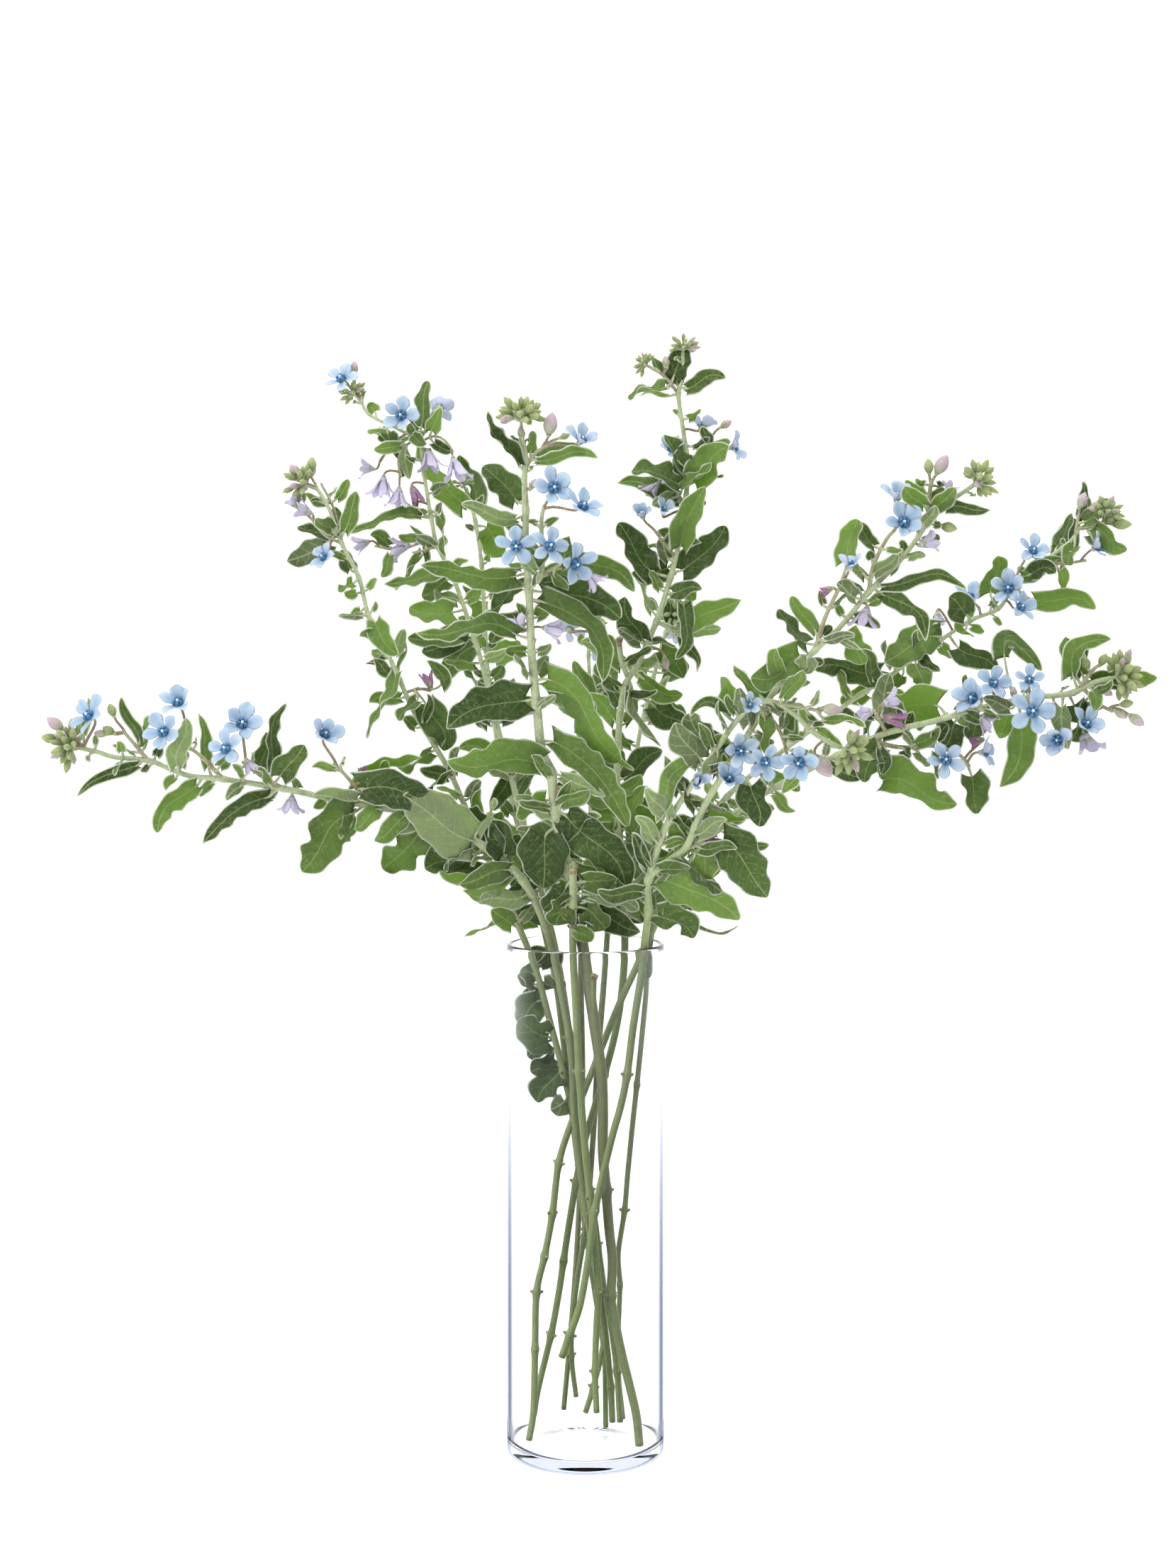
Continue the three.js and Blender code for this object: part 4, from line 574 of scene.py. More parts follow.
            ((1.2, 0.9), 5, [(4, 470), (12, 484), (16, 492)]),
        ],
        "leaves": [
            (0, 388, -22, 404, 18, 0, 22, 0), (4, 432, 24, 446, 18, 0, 22, 0),
            (2, 470, -18, 486, 18, 0, 22, 0), (4, 480, 20, 496, 16, 0, 22, 0),
            (-3, 350, -24, 362, 18, 0, 14, 0), (1, 352, 20, 364, 18, 0, 14, 0),
        ],
        "buds": [(14, 502, 10, 70, 6, "pink")],
        "heads": [(4, 526, 7, 7)],
        "blooms": [(-10, 521, 16, 13, 170, 20, 10, 0), (12, 510, 22, 13, 190, 0, 10, 20)],
    },
]

# Side shoots that were cut short, as (stem, across, up, lean across, lean up, radius)
STUBS = [
    ("front_short", -8, 372, 0.0, 1.0, 2.7), ("front_short", -8, 331, 0.05, 1.0, 2.4),
    ("centre", -16, 421, 0.1, 1.0, 2.6), ("centre", 5, 302, 0.0, 1.0, 2.4),
    ("top", 21, 516, -0.1, 1.0, 2.3),
]

# More leaves that stand in the vase, under its rim, as (stem, then the same as a listed leaf)
VASE_LEAVES = [
    ("left_middle", -28, 294, -42, 303, 16, 2, 3, 20), ("left_middle", -25, 286, -42, 270, 17, -3, -3, -25),
    ("left_middle", -23, 278, -40, 291, 14, 2, 3, 160), ("left_middle", -16, 252, -31, 221, 20, 3, 3, 10),
    ("left_middle", -14, 245, -2, 233, 9, 0, 3, 0), ("left_middle", -18, 260, -37, 250, 17, -2, 2, -20),
    ("left_middle", -31, 305, -15, 316, 11, 1, 3, 40), ("left_middle", -30, 300, -13, 292, 10, -1, 3, 200),
    ("right_middle", 38, 322, 39, 299, 10, 0, -3, 20), ("back_left", -22, 308, -36, 318, 12, 0, 2, 0),
]


# Places

def fan_out(across, up):
    """How far the lanes have spread apart at a place above the rim."""
    above = np.maximum(0, up - VASE_HEIGHT)
    reach = np.hypot(above, across * above / (above + 30))
    return FAN_STEP * reach ** 2 / (reach ** 2 + FAN_REACH ** 2)


def lane_depth(stem, across, up, offset):
    """The depth of a place in a stem's lane. An offset never leads out of the lane."""
    fan = fan_out(across, up)
    room = LANE_SHARE * (LANE_STEP + fan)
    return stem["depth"] + (stem["lane"] - LANE_MIDDLE) * fan + room * np.tanh(offset / room)


def seen(across, up, depth):
    """The points in space that show at these places from the front, at these depths."""
    scale = (EYE_DISTANCE + depth) / EYE_DISTANCE
    return np.stack([
        EYE_ACROSS + (across - EYE_ACROSS) * scale,
        depth + np.zeros_like(scale),
        EYE_HEIGHT + (up - EYE_HEIGHT) * scale,
    ], axis=-1)


def unit(vectors):
    """The same directions at a length of one."""
    size = np.linalg.norm(vectors, axis=-1, keepdims=True)
    return vectors / np.maximum(size, 1e-9)


def smoothstep(low, high, value):
    """Goes smoothly from 0 at low to 1 at high."""
    share = np.clip((value - low) / (high - low), 0, 1)
    return share * share * (3 - 2 * share)


# Meshes

def face_outward(mesh):
    """Turns all faces of a closed mesh to the outside."""
    shell = bmesh.new()
    shell.from_mesh(mesh)
    bmesh.ops.recalc_face_normals(shell, faces=shell.faces)
    shell.to_mesh(mesh)
    shell.free()


def add_object(name, data):
    """Puts a mesh, lamp or camera into the scene."""
    thing = bpy.data.objects.new(name, data)
    bpy.context.scene.collection.objects.link(thing)
    return thing


class Shape:
    """A mesh in the making: points, faces and the material slot of each face. Each point also has a tone
    and a place on its own leaf, stalk, bud or petal, which the materials read."""

    def __init__(self):
        self.points, self.faces, self.slots, self.places, self.tones = [], [], [], [], []
        self.count = 0

    def add(self, points, faces, slots, places, tone):
        points = np.asarray(points, float).reshape(-1, 3)
        self.points.append(points)
        self.faces.extend([tuple(int(i) + self.count for i in face) for face in faces])
        self.slots.extend(slots if hasattr(slots, "__len__") else [slots] * len(faces))
        self.places.append(np.asarray(places, float).reshape(-1, 3))
        self.tones.append(np.full(len(points), float(tone)))
        self.count += len(points)

    def to_object(self, name, materials):
        """Makes the object, in metres."""
        mesh = bpy.data.meshes.new(name)
        mesh.from_pydata((np.concatenate(self.points) * MM).tolist(), [], self.faces)
        face_outward(mesh)
        for material in materials:
            mesh.materials.append(material)
        mesh.polygons.foreach_set("material_index", np.array(self.slots, np.int32))
        mesh.polygons.foreach_set("use_smooth", np.ones(len(self.faces), bool))
        place = mesh.attributes.new("place", "FLOAT_VECTOR", "POINT")
        place.data.foreach_set("vector", np.concatenate(self.places).astype(np.float32).ravel())
        tone = mesh.attributes.new("tone", "FLOAT", "POINT")
        tone.data.foreach_set("value", np.concatenate(self.tones).astype(np.float32))
        mesh.update()
        return add_object(name, mesh)


def grid_faces(rows, columns, closed, first=0):
    """Quads over a grid of points. The columns meet again when closed."""
    faces = []
    for row in range(rows - 1):
        for column in range(columns if closed else columns - 1):
            a = first + row * columns + column
            b = first + row * columns + (column + 1) % columns
            faces.append((a, b, b + columns, a + columns))
    return faces


def frames_along(line):
    """Two directions square to a line at each of its points, turning as little as they can."""
    along = unit(np.gradient(line, axis=0))
    start = np.array([0.0, 1.0, 0.0]) if abs(along[0][1]) < 0.9 else np.array([1.0, 0.0, 0.0])
    side = unit(np.cross(along[0], start))
    sides = []
    for direction in along:
        side = unit(side - direction * np.dot(side, direction))
        sides.append(side)
    sides = np.array(sides)
    return along, sides, np.cross(along, sides)


def tube(shape, line, radii, sides, slot, tone, place, ends=(0.35, 0.35)):
    """A skin round a line, closed at both ends by low domes. place gives the y and z that materials read."""
    line = np.asarray(line, float)
    radii = np.broadcast_to(radii, len(line)).astype(float)
    along, side, rise = frames_along(line)
    angle = 2 * math.pi * np.arange(sides) / sides
    spokes = np.cos(angle)[None, :, None] * side[:, None] + np.sin(angle)[None, :, None] * rise[:, None]
    loops = line[:, None] + spokes * radii[:, None, None]
    start = loops[0] * 0.45 + line[0] * 0.55 - along[0] * radii[0] * ends[0]
    end = loops[-1] * 0.45 + line[-1] * 0.55 + along[-1] * radii[-1] * ends[1]
    loops = np.concatenate([start[None], loops, end[None]])
    points = loops.reshape(-1, 3)
    tips = np.array([
        line[0] - along[0] * radii[0] * ends[0] * 1.2,
        line[-1] + along[-1] * radii[-1] * ends[1] * 1.2,
    ])
    rows = len(loops)
    faces = [face[::-1] for face in grid_faces(rows, sides, True)]
    low, high = rows * sides, rows * sides + 1
    last = (rows - 1) * sides
    faces += [(low, i, (i + 1) % sides) for i in range(sides)]
    faces += [(high, last + (i + 1) % sides, last + i) for i in range(sides)]
    arc = np.concatenate([[0], np.cumsum(np.linalg.norm(np.diff(line, axis=0), axis=1))])
    arc = np.concatenate([[arc[0]], arc, [arc[-1]]])
    extra = np.broadcast_to(place, (len(line), 2))
    extra = np.concatenate([extra[:1], extra, extra[-1:]])
    places = np.concatenate([
        np.repeat(np.column_stack([arc, extra]), sides, axis=0),
        [[arc[0], *extra[0]], [arc[-1], *extra[-1]]],
    ])
    shape.add(np.concatenate([points, tips]), faces, slot, places, tone)


def sheet(shape, middle, top, bottom, slots, tone, places):
    """A thin closed leaf or petal between two grids of points that share their border."""
    rows, columns = middle.shape[:2]
    border = np.zeros((rows, columns), bool)
    border[0] = border[-1] = border[:, 0] = border[:, -1] = True
    upper = np.where(border[..., None], middle, top).reshape(-1, 3)
    inner = ~border.reshape(-1)
    lower = bottom.reshape(-1, 3)[inner]
    index = np.arange(rows * columns)
    under = index.copy()
    under[inner] = rows * columns + np.arange(inner.sum())
    faces = grid_faces(rows, columns, False)
    low_faces = [tuple(under[list(face)][::-1]) for face in faces]
    flat = places.reshape(-1, 3)
    shape.add(
        np.concatenate([upper, lower]), faces + low_faces,
        [slots[0]] * len(faces) + [slots[1]] * len(low_faces),
        np.concatenate([flat, flat[inner]]), tone,
    )


# Shoots

def smooth_line(points, spacing):
    """Points along a smooth line through the given ones."""
    points = np.asarray(points, float)
    ends = np.concatenate([[2 * points[0] - points[1]], points, [2 * points[-1] - points[-2]]])
    found = []
    for i in range(len(points) - 1):
        p0, p1, p2, p3 = ends[i:i + 4]
        steps = max(2, int(np.linalg.norm((p2 - p1)[:2]) / spacing))
        for t in np.arange(steps) / steps:
            found.append(0.5 * (
                2 * p1 + (p2 - p0) * t + (2 * p0 - 5 * p1 + 4 * p2 - p3) * t ** 2
                + (3 * p1 - p0 - 3 * p2 + p3) * t ** 3
            ))
    found.append(points[-1])
    return np.array(found)


def shoot(stem, route, thick, start, end, root_depth=None):
    """A stem or side shoot, with its offset going from start to end and its knots swollen."""
    flat = np.array([spot[:2] for spot in route], float)
    lengths = np.concatenate([[0], np.cumsum(np.linalg.norm(np.diff(flat, axis=0), axis=1))])
    line = smooth_line(np.column_stack([flat, lengths]), STEM_SPACING)
    across, up = line[:, 0], line[:, 1]
    share = np.clip(line[:, 2] / lengths[-1], 0, 1)
    offset = start + (end - start) * share
    depth = lane_depth(stem, across, up, offset)
    if root_depth is not None:
        depth += (root_depth - depth[0]) * np.clip(1 - share / ROOT_BLEND, 0, 1)
    radius = np.interp(share, np.linspace(0, 1, len(thick)), thick)
    knots = [lengths[i] for i, spot in enumerate(route) if len(spot) > 2]
    for knot in knots:
        radius = radius * (1 + KNOT_SWELL * np.exp(-((line[:, 2] - knot) / KNOT_REACH) ** 2))
    return {
        "across": across, "up": up, "depth": depth, "offset": offset, "radius": radius,
        "knots": knots, "run": line[:, 2],
    }


def nearest_on(shoots, across, up):
    """The place on a stem's shoots that shows nearest to the given one."""
    best = None
    for line in shoots:
        gaps = np.hypot(line["across"][:-1] - across, line["up"][:-1] - up)
        i = int(np.argmin(gaps))
        if best is None or gaps[i] < best["gap"]:
            best = {name: float(line[name][i]) for name in ("across", "up", "depth", "offset")}
            best.update(gap=float(gaps[i]), point=seen(
                np.array(line["across"][i]), np.array(line["up"][i]), np.array(line["depth"][i])))
    return best


def shoots_of(stem):
    """A stem's own line first, and then its side shoots, each rooted on one before it."""
    shoots = [shoot(stem, stem["route"], stem["thick"], 0, 0)]
    for thick, shift, route in stem["twigs"]:
        root = nearest_on(shoots, *route[0][:2])
        line = [(root["across"], root["up"])] + list(route[1:])
        shoots.append(shoot(stem, line, thick, root["offset"], shift, root["depth"]))
    return shoots


def line_of(line):
    """The points in space of a shoot."""
    return seen(line["across"], line["up"], line["depth"])


def curve_between(start, start_way, end, end_way, steps):
    """A smooth line from one point and direction to another."""
    reach = 0.45 * np.linalg.norm(end - start)
    t = np.linspace(0, 1, steps)[:, None]
    a, b = start + start_way * reach, end - end_way * reach
    return (1 - t) ** 3 * start + 3 * (1 - t) ** 2 * t * a + 3 * (1 - t) * t ** 2 * b + t ** 3 * end


def spokes_between(side, rise, turn=0.0):
    """Five directions evenly round, starting at a turn from the side one."""
    for i in range(FLOWER_PARTS):
        angle = turn + 2 * math.pi * i / FLOWER_PARTS
        yield math.cos(angle) * side + math.sin(angle) * rise


def star_stub(shape, centre, way, radius):
    """The dried end of a cut side shoot, with a ring of blunt scars."""
    across = unit(np.cross(way, [0.0, 1.0, 0.0]))
    rise = np.cross(way, across)
    tube(shape, [centre - way * 4, centre - way * 1.5, centre, centre + way * 1.2],
         [radius * 0.72, radius * 0.8, radius * 1.15, radius * 0.7], 10, STALK_BROWN, 0.6, (1.0, 400))
    for spoke in spokes_between(across, rise):
        tip = centre + spoke * radius * 1.35 + way * 1.4
        tube(shape, [centre + spoke * radius * 0.5, centre + spoke * radius + way * 0.4, tip],
             [0.9, 0.85, 0.6], 6, STALK_BROWN, 0.9, (1.0, 400))


def leaf_scars(shape, line, points, along, number):
    """Paired scars of stripped leaves at the knots low on a stem."""
    for count, knot in enumerate(line["knots"]):
        i = int(np.argmin(np.abs(line["run"] - knot)))
        if line["up"][i] > SCARS_BELOW:
            continue
        way = along[i]
        turn = math.radians(90 * (count % 2) + 24 * number + 13 * count)
        side = unit(np.cross(way, [0.0, 1.0, 0.0]))
        rise = np.cross(way, side)
        for sign in (1, -1):
            spoke = sign * (math.cos(turn) * side + math.sin(turn) * rise)
            radius = line["radius"][i]
            inside = points[i] + spoke * radius * 0.5
            tip = points[i] + spoke * (radius + 1.3) + way * 0.9
            tube(shape, [inside, (inside + tip) / 2 + way * 0.1, tip], [1.3, 1.1, 0.7], 7,
                 STALK_BROWN, 0.8, (0.8, line["up"][i]))


# Leaves

def blade_share(t, blunt, point, taper):
    """Half the blade's width along its length, as a share of the widest."""
    rise = 0.66 + 0.34 * smoothstep(0, 0.2, t)
    return rise * (1 - taper * smoothstep(0.2, 1, t)) * np.clip(1 - t ** blunt, 0, 1) ** point


def leaf(shape, stalks, stem, shoots, values, draws, rows=LEAF_ROWS, columns=LEAF_COLUMNS):
    """A folded, waved and twisted blade with its midrib standing out below, and its stalk."""
    base_u, base_v, tip_u, tip_v, width, bow, lift, roll = values[:8]
    fold = values[8] if len(values) > 8 else BLADE_FOLD
    length = math.hypot(tip_u - base_u, tip_v - base_v)
    heading = np.array([tip_u - base_u, tip_v - base_v]) / length
    root = nearest_on(shoots, base_u, base_v)
    behind = (root["across"] - base_u) * heading[0] + (root["up"] - base_v) * heading[1]
    start = max(0.06, (BLADE_START + max(0, behind)) / length)
    blunt = draws.uniform(2.6, 6.0)
    point = draws.uniform(0.46, 0.82)
    taper = draws.uniform(0.0, 0.26)
    in_vase = base_v <= VASE_LEAF_BELOW
    widen = VASE_LEAF_WIDEN if in_vase else BLADE_WIDEN
    waves = length / draws.uniform(13, 21, 2)
    phase = draws.uniform(0, 2 * math.pi, 4)
    ripple = width * draws.uniform(0.1, 0.27, 2)
    curl = draws.uniform(-0.95, 0.95)
    scallop = draws.uniform(0.04, 0.11)
    hook = draws.uniform(-0.2, 0.2) * length
    weave = draws.uniform(-0.07, 0.07) * length
    fold = fold + draws.uniform(-12, 16)

    roll, fold = math.radians(roll), math.radians(fold)
    t = np.sin(np.linspace(0, math.pi / 2, rows)) ** 1.15
    t[-1] = 0.999
    edge = np.linspace(-1, 1, columns)
    s = np.sign(edge) * (1 - (1 - np.abs(edge)) ** 1.25)
    t, s = np.meshgrid(t, s, indexing="ij")
    side = np.where(s > 0, 0, 1)
    turn = 2 * math.pi * waves[side] * t + phase[side]
    half = 0.5 * widen * width * blade_share(t, blunt, point, taper)
    half = half * (1 + scallop * np.sin(turn + phase[side + 2]))
    lobe = min(0.34 * width, 0.14 * length, start * length - 0.5 + 0.12 * width)
    back = lobe * np.abs(s) ** 1.4 * (1 - smoothstep(0, 0.22, t))
    share = start + (1 - start) * t
    bulge = 4 * bow * share * (1 - share) + weave * np.sin(2 * math.pi * share)
    rib_u = base_u + (tip_u - base_u) * share - heading[1] * bulge
    rib_v = base_v + (tip_v - base_v) * share + heading[0] * bulge
    slope = (4 * bow * (1 - 2 * share) + 2 * math.pi * weave * np.cos(2 * math.pi * share)) / length
    step = unit(np.stack([heading[0] - heading[1] * slope, heading[1] + heading[0] * slope], -1))
    wave = ripple[side] * np.sin(turn) * np.abs(s) ** 1.7 * (0.35 + 1.1 * t * (1.15 - t))
    wide = s * half
    raised = np.abs(wide) * math.sin(fold) * (0.55 + 0.45 * np.abs(s)) + wave
    twist = roll + curl * np.sin(math.pi * t)
    sweep = wide * math.cos(fold) * np.cos(twist) - raised * np.sin(twist)
    toward = wide * math.cos(fold) * np.sin(twist) + raised * np.cos(twist)
    out = lift * share * (2 - share) + hook * smoothstep(0.55, 1, t) ** 2
    across = rib_u - step[..., 1] * sweep - heading[0] * back
    up = rib_v + step[..., 0] * sweep - heading[1] * back
    middle = seen(across, up, lane_depth(stem, across, up, root["offset"] + out - toward))
    normal = unit(np.cross(np.gradient(middle, axis=0), np.gradient(middle, axis=1)))
    rib = np.exp(-(wide / RIB_HALF_WIDTH) ** 2) * (1 - 0.8 * t)
    top = middle + normal * (BLADE_HALF_THICKNESS - RIB_GROOVE * rib)[..., None]
    bottom = middle - normal * (BLADE_HALF_THICKNESS + RIB_DEPTH * rib)[..., None]
    run = share * length - back
    places = np.stack([run, wide, np.maximum(half, 0.3)], -1)
    # Leaves in the vase get a lower tone: painted shade inside the glass.
    tone = draws.random() * (VASE_LEAF_SHADE if in_vase else 1)
    sheet(shape, middle, top, bottom, (LEAF_TOP, LEAF_UNDER), tone, places)

    centre = columns // 2
    joint = middle[1, centre] - normal[1, centre] * 0.35
    way = unit(middle[2, centre] - middle[0, centre])
    first = unit(joint - root["point"]) if np.linalg.norm(joint - root["point"]) > 1e-6 else way
    line = curve_between(root["point"], first, joint, way, 8)
    tube(stalks, line, np.linspace(PETIOLE_RADIUS * 1.35, PETIOLE_RADIUS * 0.8, 8), 7, STALK_GREEN, tone,
         (0.15, root["up"]))


def small_leaves(shape, stalks, stem, shoots, draws):
    """Smaller leaves in pairs between the listed ones, leaning towards the eye or away from it."""
    for number, line in enumerate(shoots):
        run, up, across = line["run"], line["up"], line["across"]
        place = 6.0 if number else float(np.interp(SMALL_FROM, up, run)) + 4
        while place < run[-1] - 5:
            i = int(np.searchsorted(run, place))
            here = min(max(i, 1), len(run) - 2)
            ahead = math.atan2(up[here + 1] - up[here - 1], across[here + 1] - across[here - 1])
            left = (run[-1] - place) / run[-1]
            for sign in (-1, 1):
                turn = ahead + sign * math.radians(draws.uniform(30, 85))
                length = (SMALL_SHORTEST + SMALL_GROWTH * min(1, 1.6 * left)) * draws.uniform(0.6, 1.25)
                depth = draws.uniform(-SMALL_LEAN, SMALL_LEAN) * length
                if number:
                    length = length * SMALL_TWIG_LENGTH
                tip = (across[here] + length * math.cos(turn), up[here] + length * math.sin(turn))
                width = (SMALL_LEAST_WIDTH + SMALL_WIDTH_SHARE * length) * draws.uniform(0.65, 1.15)
                roll = draws.uniform(-45, 45) + (180 if draws.random() < SMALL_TURNED_SHARE else 0)
                values = (across[here], up[here], *tip, width, draws.uniform(-2, 2), depth, roll)
                if draws.random() < SMALL_SHARE and tip[1] > SMALL_FROM:
                    leaf(shape, stalks, stem, shoots, values, draws, SMALL_ROWS, SMALL_COLUMNS)
            place += draws.uniform(0.75, 1.25) * SMALL_STEP


# Buds, bells and withered flowers

def square_to(way):
    """Two directions square to the given one and to each other."""
    start = np.array([0.0, 0.0, 1.0]) if abs(way[2]) < 0.9 else np.array([1.0, 0.0, 0.0])
    side = unit(np.cross(start, way))
    return side, np.cross(way, side)


def sepals(shape, base, way, length, spread, width, slot, tone, turn=0.0):
    """Five narrow pointed sepals that hug the foot of a bud or flower."""
    side, rise = square_to(way)
    for spoke in spokes_between(side, rise, turn):
        cross = np.cross(way, spoke)
        t, s = np.meshgrid(np.linspace(0, 0.99, 6), np.linspace(-1, 1, 3), indexing="ij")
        half = 0.5 * width * np.sin(math.pi * (0.25 + 0.75 * t)) ** 0.8
        lift = spread * np.sin(0.5 * math.pi * np.minimum(1, t * 1.25)) + 0.35
        middle = (base + way * (length * t)[..., None] + spoke * (lift - 0.12 * np.abs(s) * half)[..., None]
                  + cross * (s * half)[..., None])
        normal = unit(np.cross(np.gradient(middle, axis=1), np.gradient(middle, axis=0)))
        outward = np.sign(np.sum(normal * spoke, -1, keepdims=True))
        normal = normal * np.where(outward == 0, 1, outward)
        places = np.stack([t * length, s * half, np.maximum(half, 0.1)], -1)
        top = middle + normal * SEPAL_HALF_THICKNESS
        bottom = middle - normal * SEPAL_HALF_THICKNESS
        sheet(shape, middle, top, bottom, (slot, slot), tone, places)


def bud_body(shape, base, way, length, width, slot, tone, ridges, twist, top):
    """A closed bud: an egg drawn out to a point, with the folded petals showing as twisted ridges."""
    side, rise = square_to(way)
    rows, sides = BUD_ROWS, BUD_SIDES
    t = np.linspace(0.0, 1.0, rows)
    radius = 0.5 * width * np.sin(math.pi * np.clip(t, 0, 1) ** top) ** 0.72
    radius = np.maximum(radius, 0.05 * width * (1 - t))
    angle = 2 * math.pi * np.arange(sides) / sides
    t2, a2 = np.meshgrid(t, angle, indexing="ij")
    ridge = 1 + ridges * np.abs(np.sin(2.5 * (a2 + twist * t2))) ** 0.6 * smoothstep(0.15, 0.6, t2)
    spokes = np.cos(a2)[..., None] * side + np.sin(a2)[..., None] * rise
    points = base + way * (length * t2)[..., None] + spokes * (radius[:, None] * ridge)[..., None]
    points = points[1:-1].reshape(-1, 3)
    count = (rows - 2) * sides
    faces = grid_faces(rows - 2, sides, True)
    last = (rows - 3) * sides
    faces += [(count, (i + 1) % sides, i) for i in range(sides)]
    faces += [(count + 1, last + i, last + (i + 1) % sides) for i in range(sides)]
    places = np.stack([t2[1:-1], np.sin(2.5 * (a2[1:-1] + twist * t2[1:-1])), 0 * t2[1:-1] + 0.5], -1)
    places = np.concatenate([places.reshape(-1, 3), [[0, 0, 0.5], [1, 0, 0.5]]])
    shape.add(np.concatenate([points, [base, base + way * length]]), faces, slot, places, tone)


def petal(shape, centre, front, spoke, length, width, lean, slots, tone, draws, flare=0.0, crumple=0.0,
          narrow=0.44):
    """One petal: narrow where it joins, oblong and rounded beyond, and gently cupped."""
    cross = np.cross(front, spoke)
    t, s = np.meshgrid(np.sin(np.linspace(0, math.pi / 2, PETAL_ROWS)), np.linspace(-1, 1, PETAL_COLUMNS),
                       indexing="ij")
    t = np.minimum(t, 0.995)
    foot = narrow + (1 - narrow) * smoothstep(0.02, 0.6, t)
    half = 0.5 * width * foot * (1 - t ** draws.uniform(4, 8)) ** 0.62
    skew = draws.uniform(-0.09, 0.09) * np.sign(s) * t
    half = half * (1 + skew + 0.05 * np.sin(9 * t + draws.uniform(0, 6)))
    bend = lean * smoothstep(0, 0.35, t) - flare * smoothstep(0.45, 1, t)
    steps = np.gradient(t[:, 0])
    outward = np.cumsum(np.cos(bend[:, 0]) * steps) - np.cos(bend[0, 0]) * steps[0]
    ahead = np.cumsum(np.sin(bend[:, 0]) * steps) - np.sin(bend[0, 0]) * steps[0]
    wave = draws.uniform(-0.14, 0.14) * length
    swirl = draws.uniform(-0.1, 0.3)
    trough = draws.uniform(0.1, 0.42)
    lift = trough * half * np.abs(s) ** 1.5 + wave * s * t ** 2 + swirl * s * half
    lift = lift + 0.12 * half * np.sin(8 * t + 3 * s + draws.uniform(0, 6)) * t
    lift = lift + crumple * width * np.sin(7 * s + 9 * t + tone * 9) * t
    out = outward[:, None] * length - 0.12 * half * s ** 2
    forward = ahead[:, None] * length + lift * np.cos(bend)
    middle = (centre + spoke * (out - lift * np.sin(bend) * 0.6)[..., None] + front * forward[..., None]
              + cross * (s * half)[..., None])
    normal = unit(np.cross(np.gradient(middle, axis=0), np.gradient(middle, axis=1)))
    places = np.stack([t, s, half / (0.5 * width)], -1)
    top = middle + normal * PETAL_HALF_THICKNESS
    bottom = middle - normal * PETAL_HALF_THICKNESS
    sheet(shape, middle, top, bottom, slots, tone, places)


def spokes_round(front, spin):
    """Five directions evenly round the front one."""
    side = unit(np.cross([0.0, 0.0, 1.0], front))
    return spokes_between(side, np.cross(front, side), spin)


def bell(shape, base, way, length, width, kind, tone, draws):
    """A flower that is half closed or withered, with its petals forward."""
    withered = kind == "withered"
    slots = (BUD_WITHERED, BUD_WITHERED) if withered else (BUD_LILAC, BUD_LILAC)
    petal_width = width * (0.5 if withered else 0.62)
    lean = math.radians(78 if withered else 66)
    flare = math.radians(10 if withered else 42)
    centre = base + way * 0.16 * length
    for spoke in spokes_round(way, draws.uniform(0, 6)):
        petal_length = 0.92 * length * draws.uniform(0.85, 1.08)
        petal_lean = lean * draws.uniform(0.9, 1.08)
        petal_tone = draws.random()
        petal(shape, centre + spoke * 0.1 * width, way, spoke, petal_length, petal_width, petal_lean, slots,
              petal_tone, draws, flare * draws.uniform(0.4, 1.2), 0.12 if withered else 0.02, narrow=0.5)
    bud_body(shape, base, way, 0.55 * length, 0.55 * width, slots[0], tone, 0.05, 0.4, 0.8)


def bud(shape, stalks, stem, shoots, values, draws):
    """A bud, bell or withered flower with its sepals, on a short stalk from the nearest shoot."""
    across, up, length, heading, width, kind = values
    heading = math.radians(heading)
    reach = np.array([math.cos(heading), math.sin(heading)]) * length / 2
    root = nearest_on(shoots, across - reach[0], up - reach[1])
    ends = []
    for sign in (-1, 1):
        u, v = np.array(across + sign * reach[0]), np.array(up + sign * reach[1])
        ends.append(seen(u, v, lane_depth(stem, u, v, root["offset"])))
    base, tip = ends
    way = unit(tip - base)
    tone = draws.random()
    long = np.linalg.norm(tip - base)
    if kind == "green":
        width = min(width, 0.6 * long)
        bud_body(shape, base, way, long, width, BUD_GREEN, tone, 0.1, 0.8, 0.85)
        sepals(shape, base, way, 0.62 * long, 0.44 * width, 0.5 * width, BUD_GREEN, tone, 0.4)
    elif kind == "pink":
        long = 0.86 * long
        width = min(width, 0.56 * long)
        bud_body(shape, base, way, long, width, BUD_PINK, tone, 0.12, 1.6, 0.85)
        sepals(shape, base, way, 0.55 * long, 0.45 * width, 0.42 * width, BUD_GREEN, tone, 0.4)
    else:
        bell(shape, base, way, long, width, kind, tone, draws)
        sepals(shape, base, way, 0.46 * long, 0.3 * width, 0.34 * width, BUD_GREEN, tone, 0.4)
    gap = np.linalg.norm(base - root["point"])
    if gap > 1.5:
        first = unit(unit(base - root["point"]) + np.array([0, 0, 0.5]))
        line = curve_between(root["point"], first, base + way * 0.6, way, 9)
        tube(stalks, line, np.linspace(PEDICEL_RADIUS * 1.15, PEDICEL_RADIUS, 9), 7, STALK_BROWN, tone,
             (0.75, root["up"]))
    tube(stalks, [base - way * 0.9, base + way * 0.3, base + way * 1.2], [0.9, 1.25, 1.1], 8, STALK_GREEN,
         tone, (0.2, root["up"]))


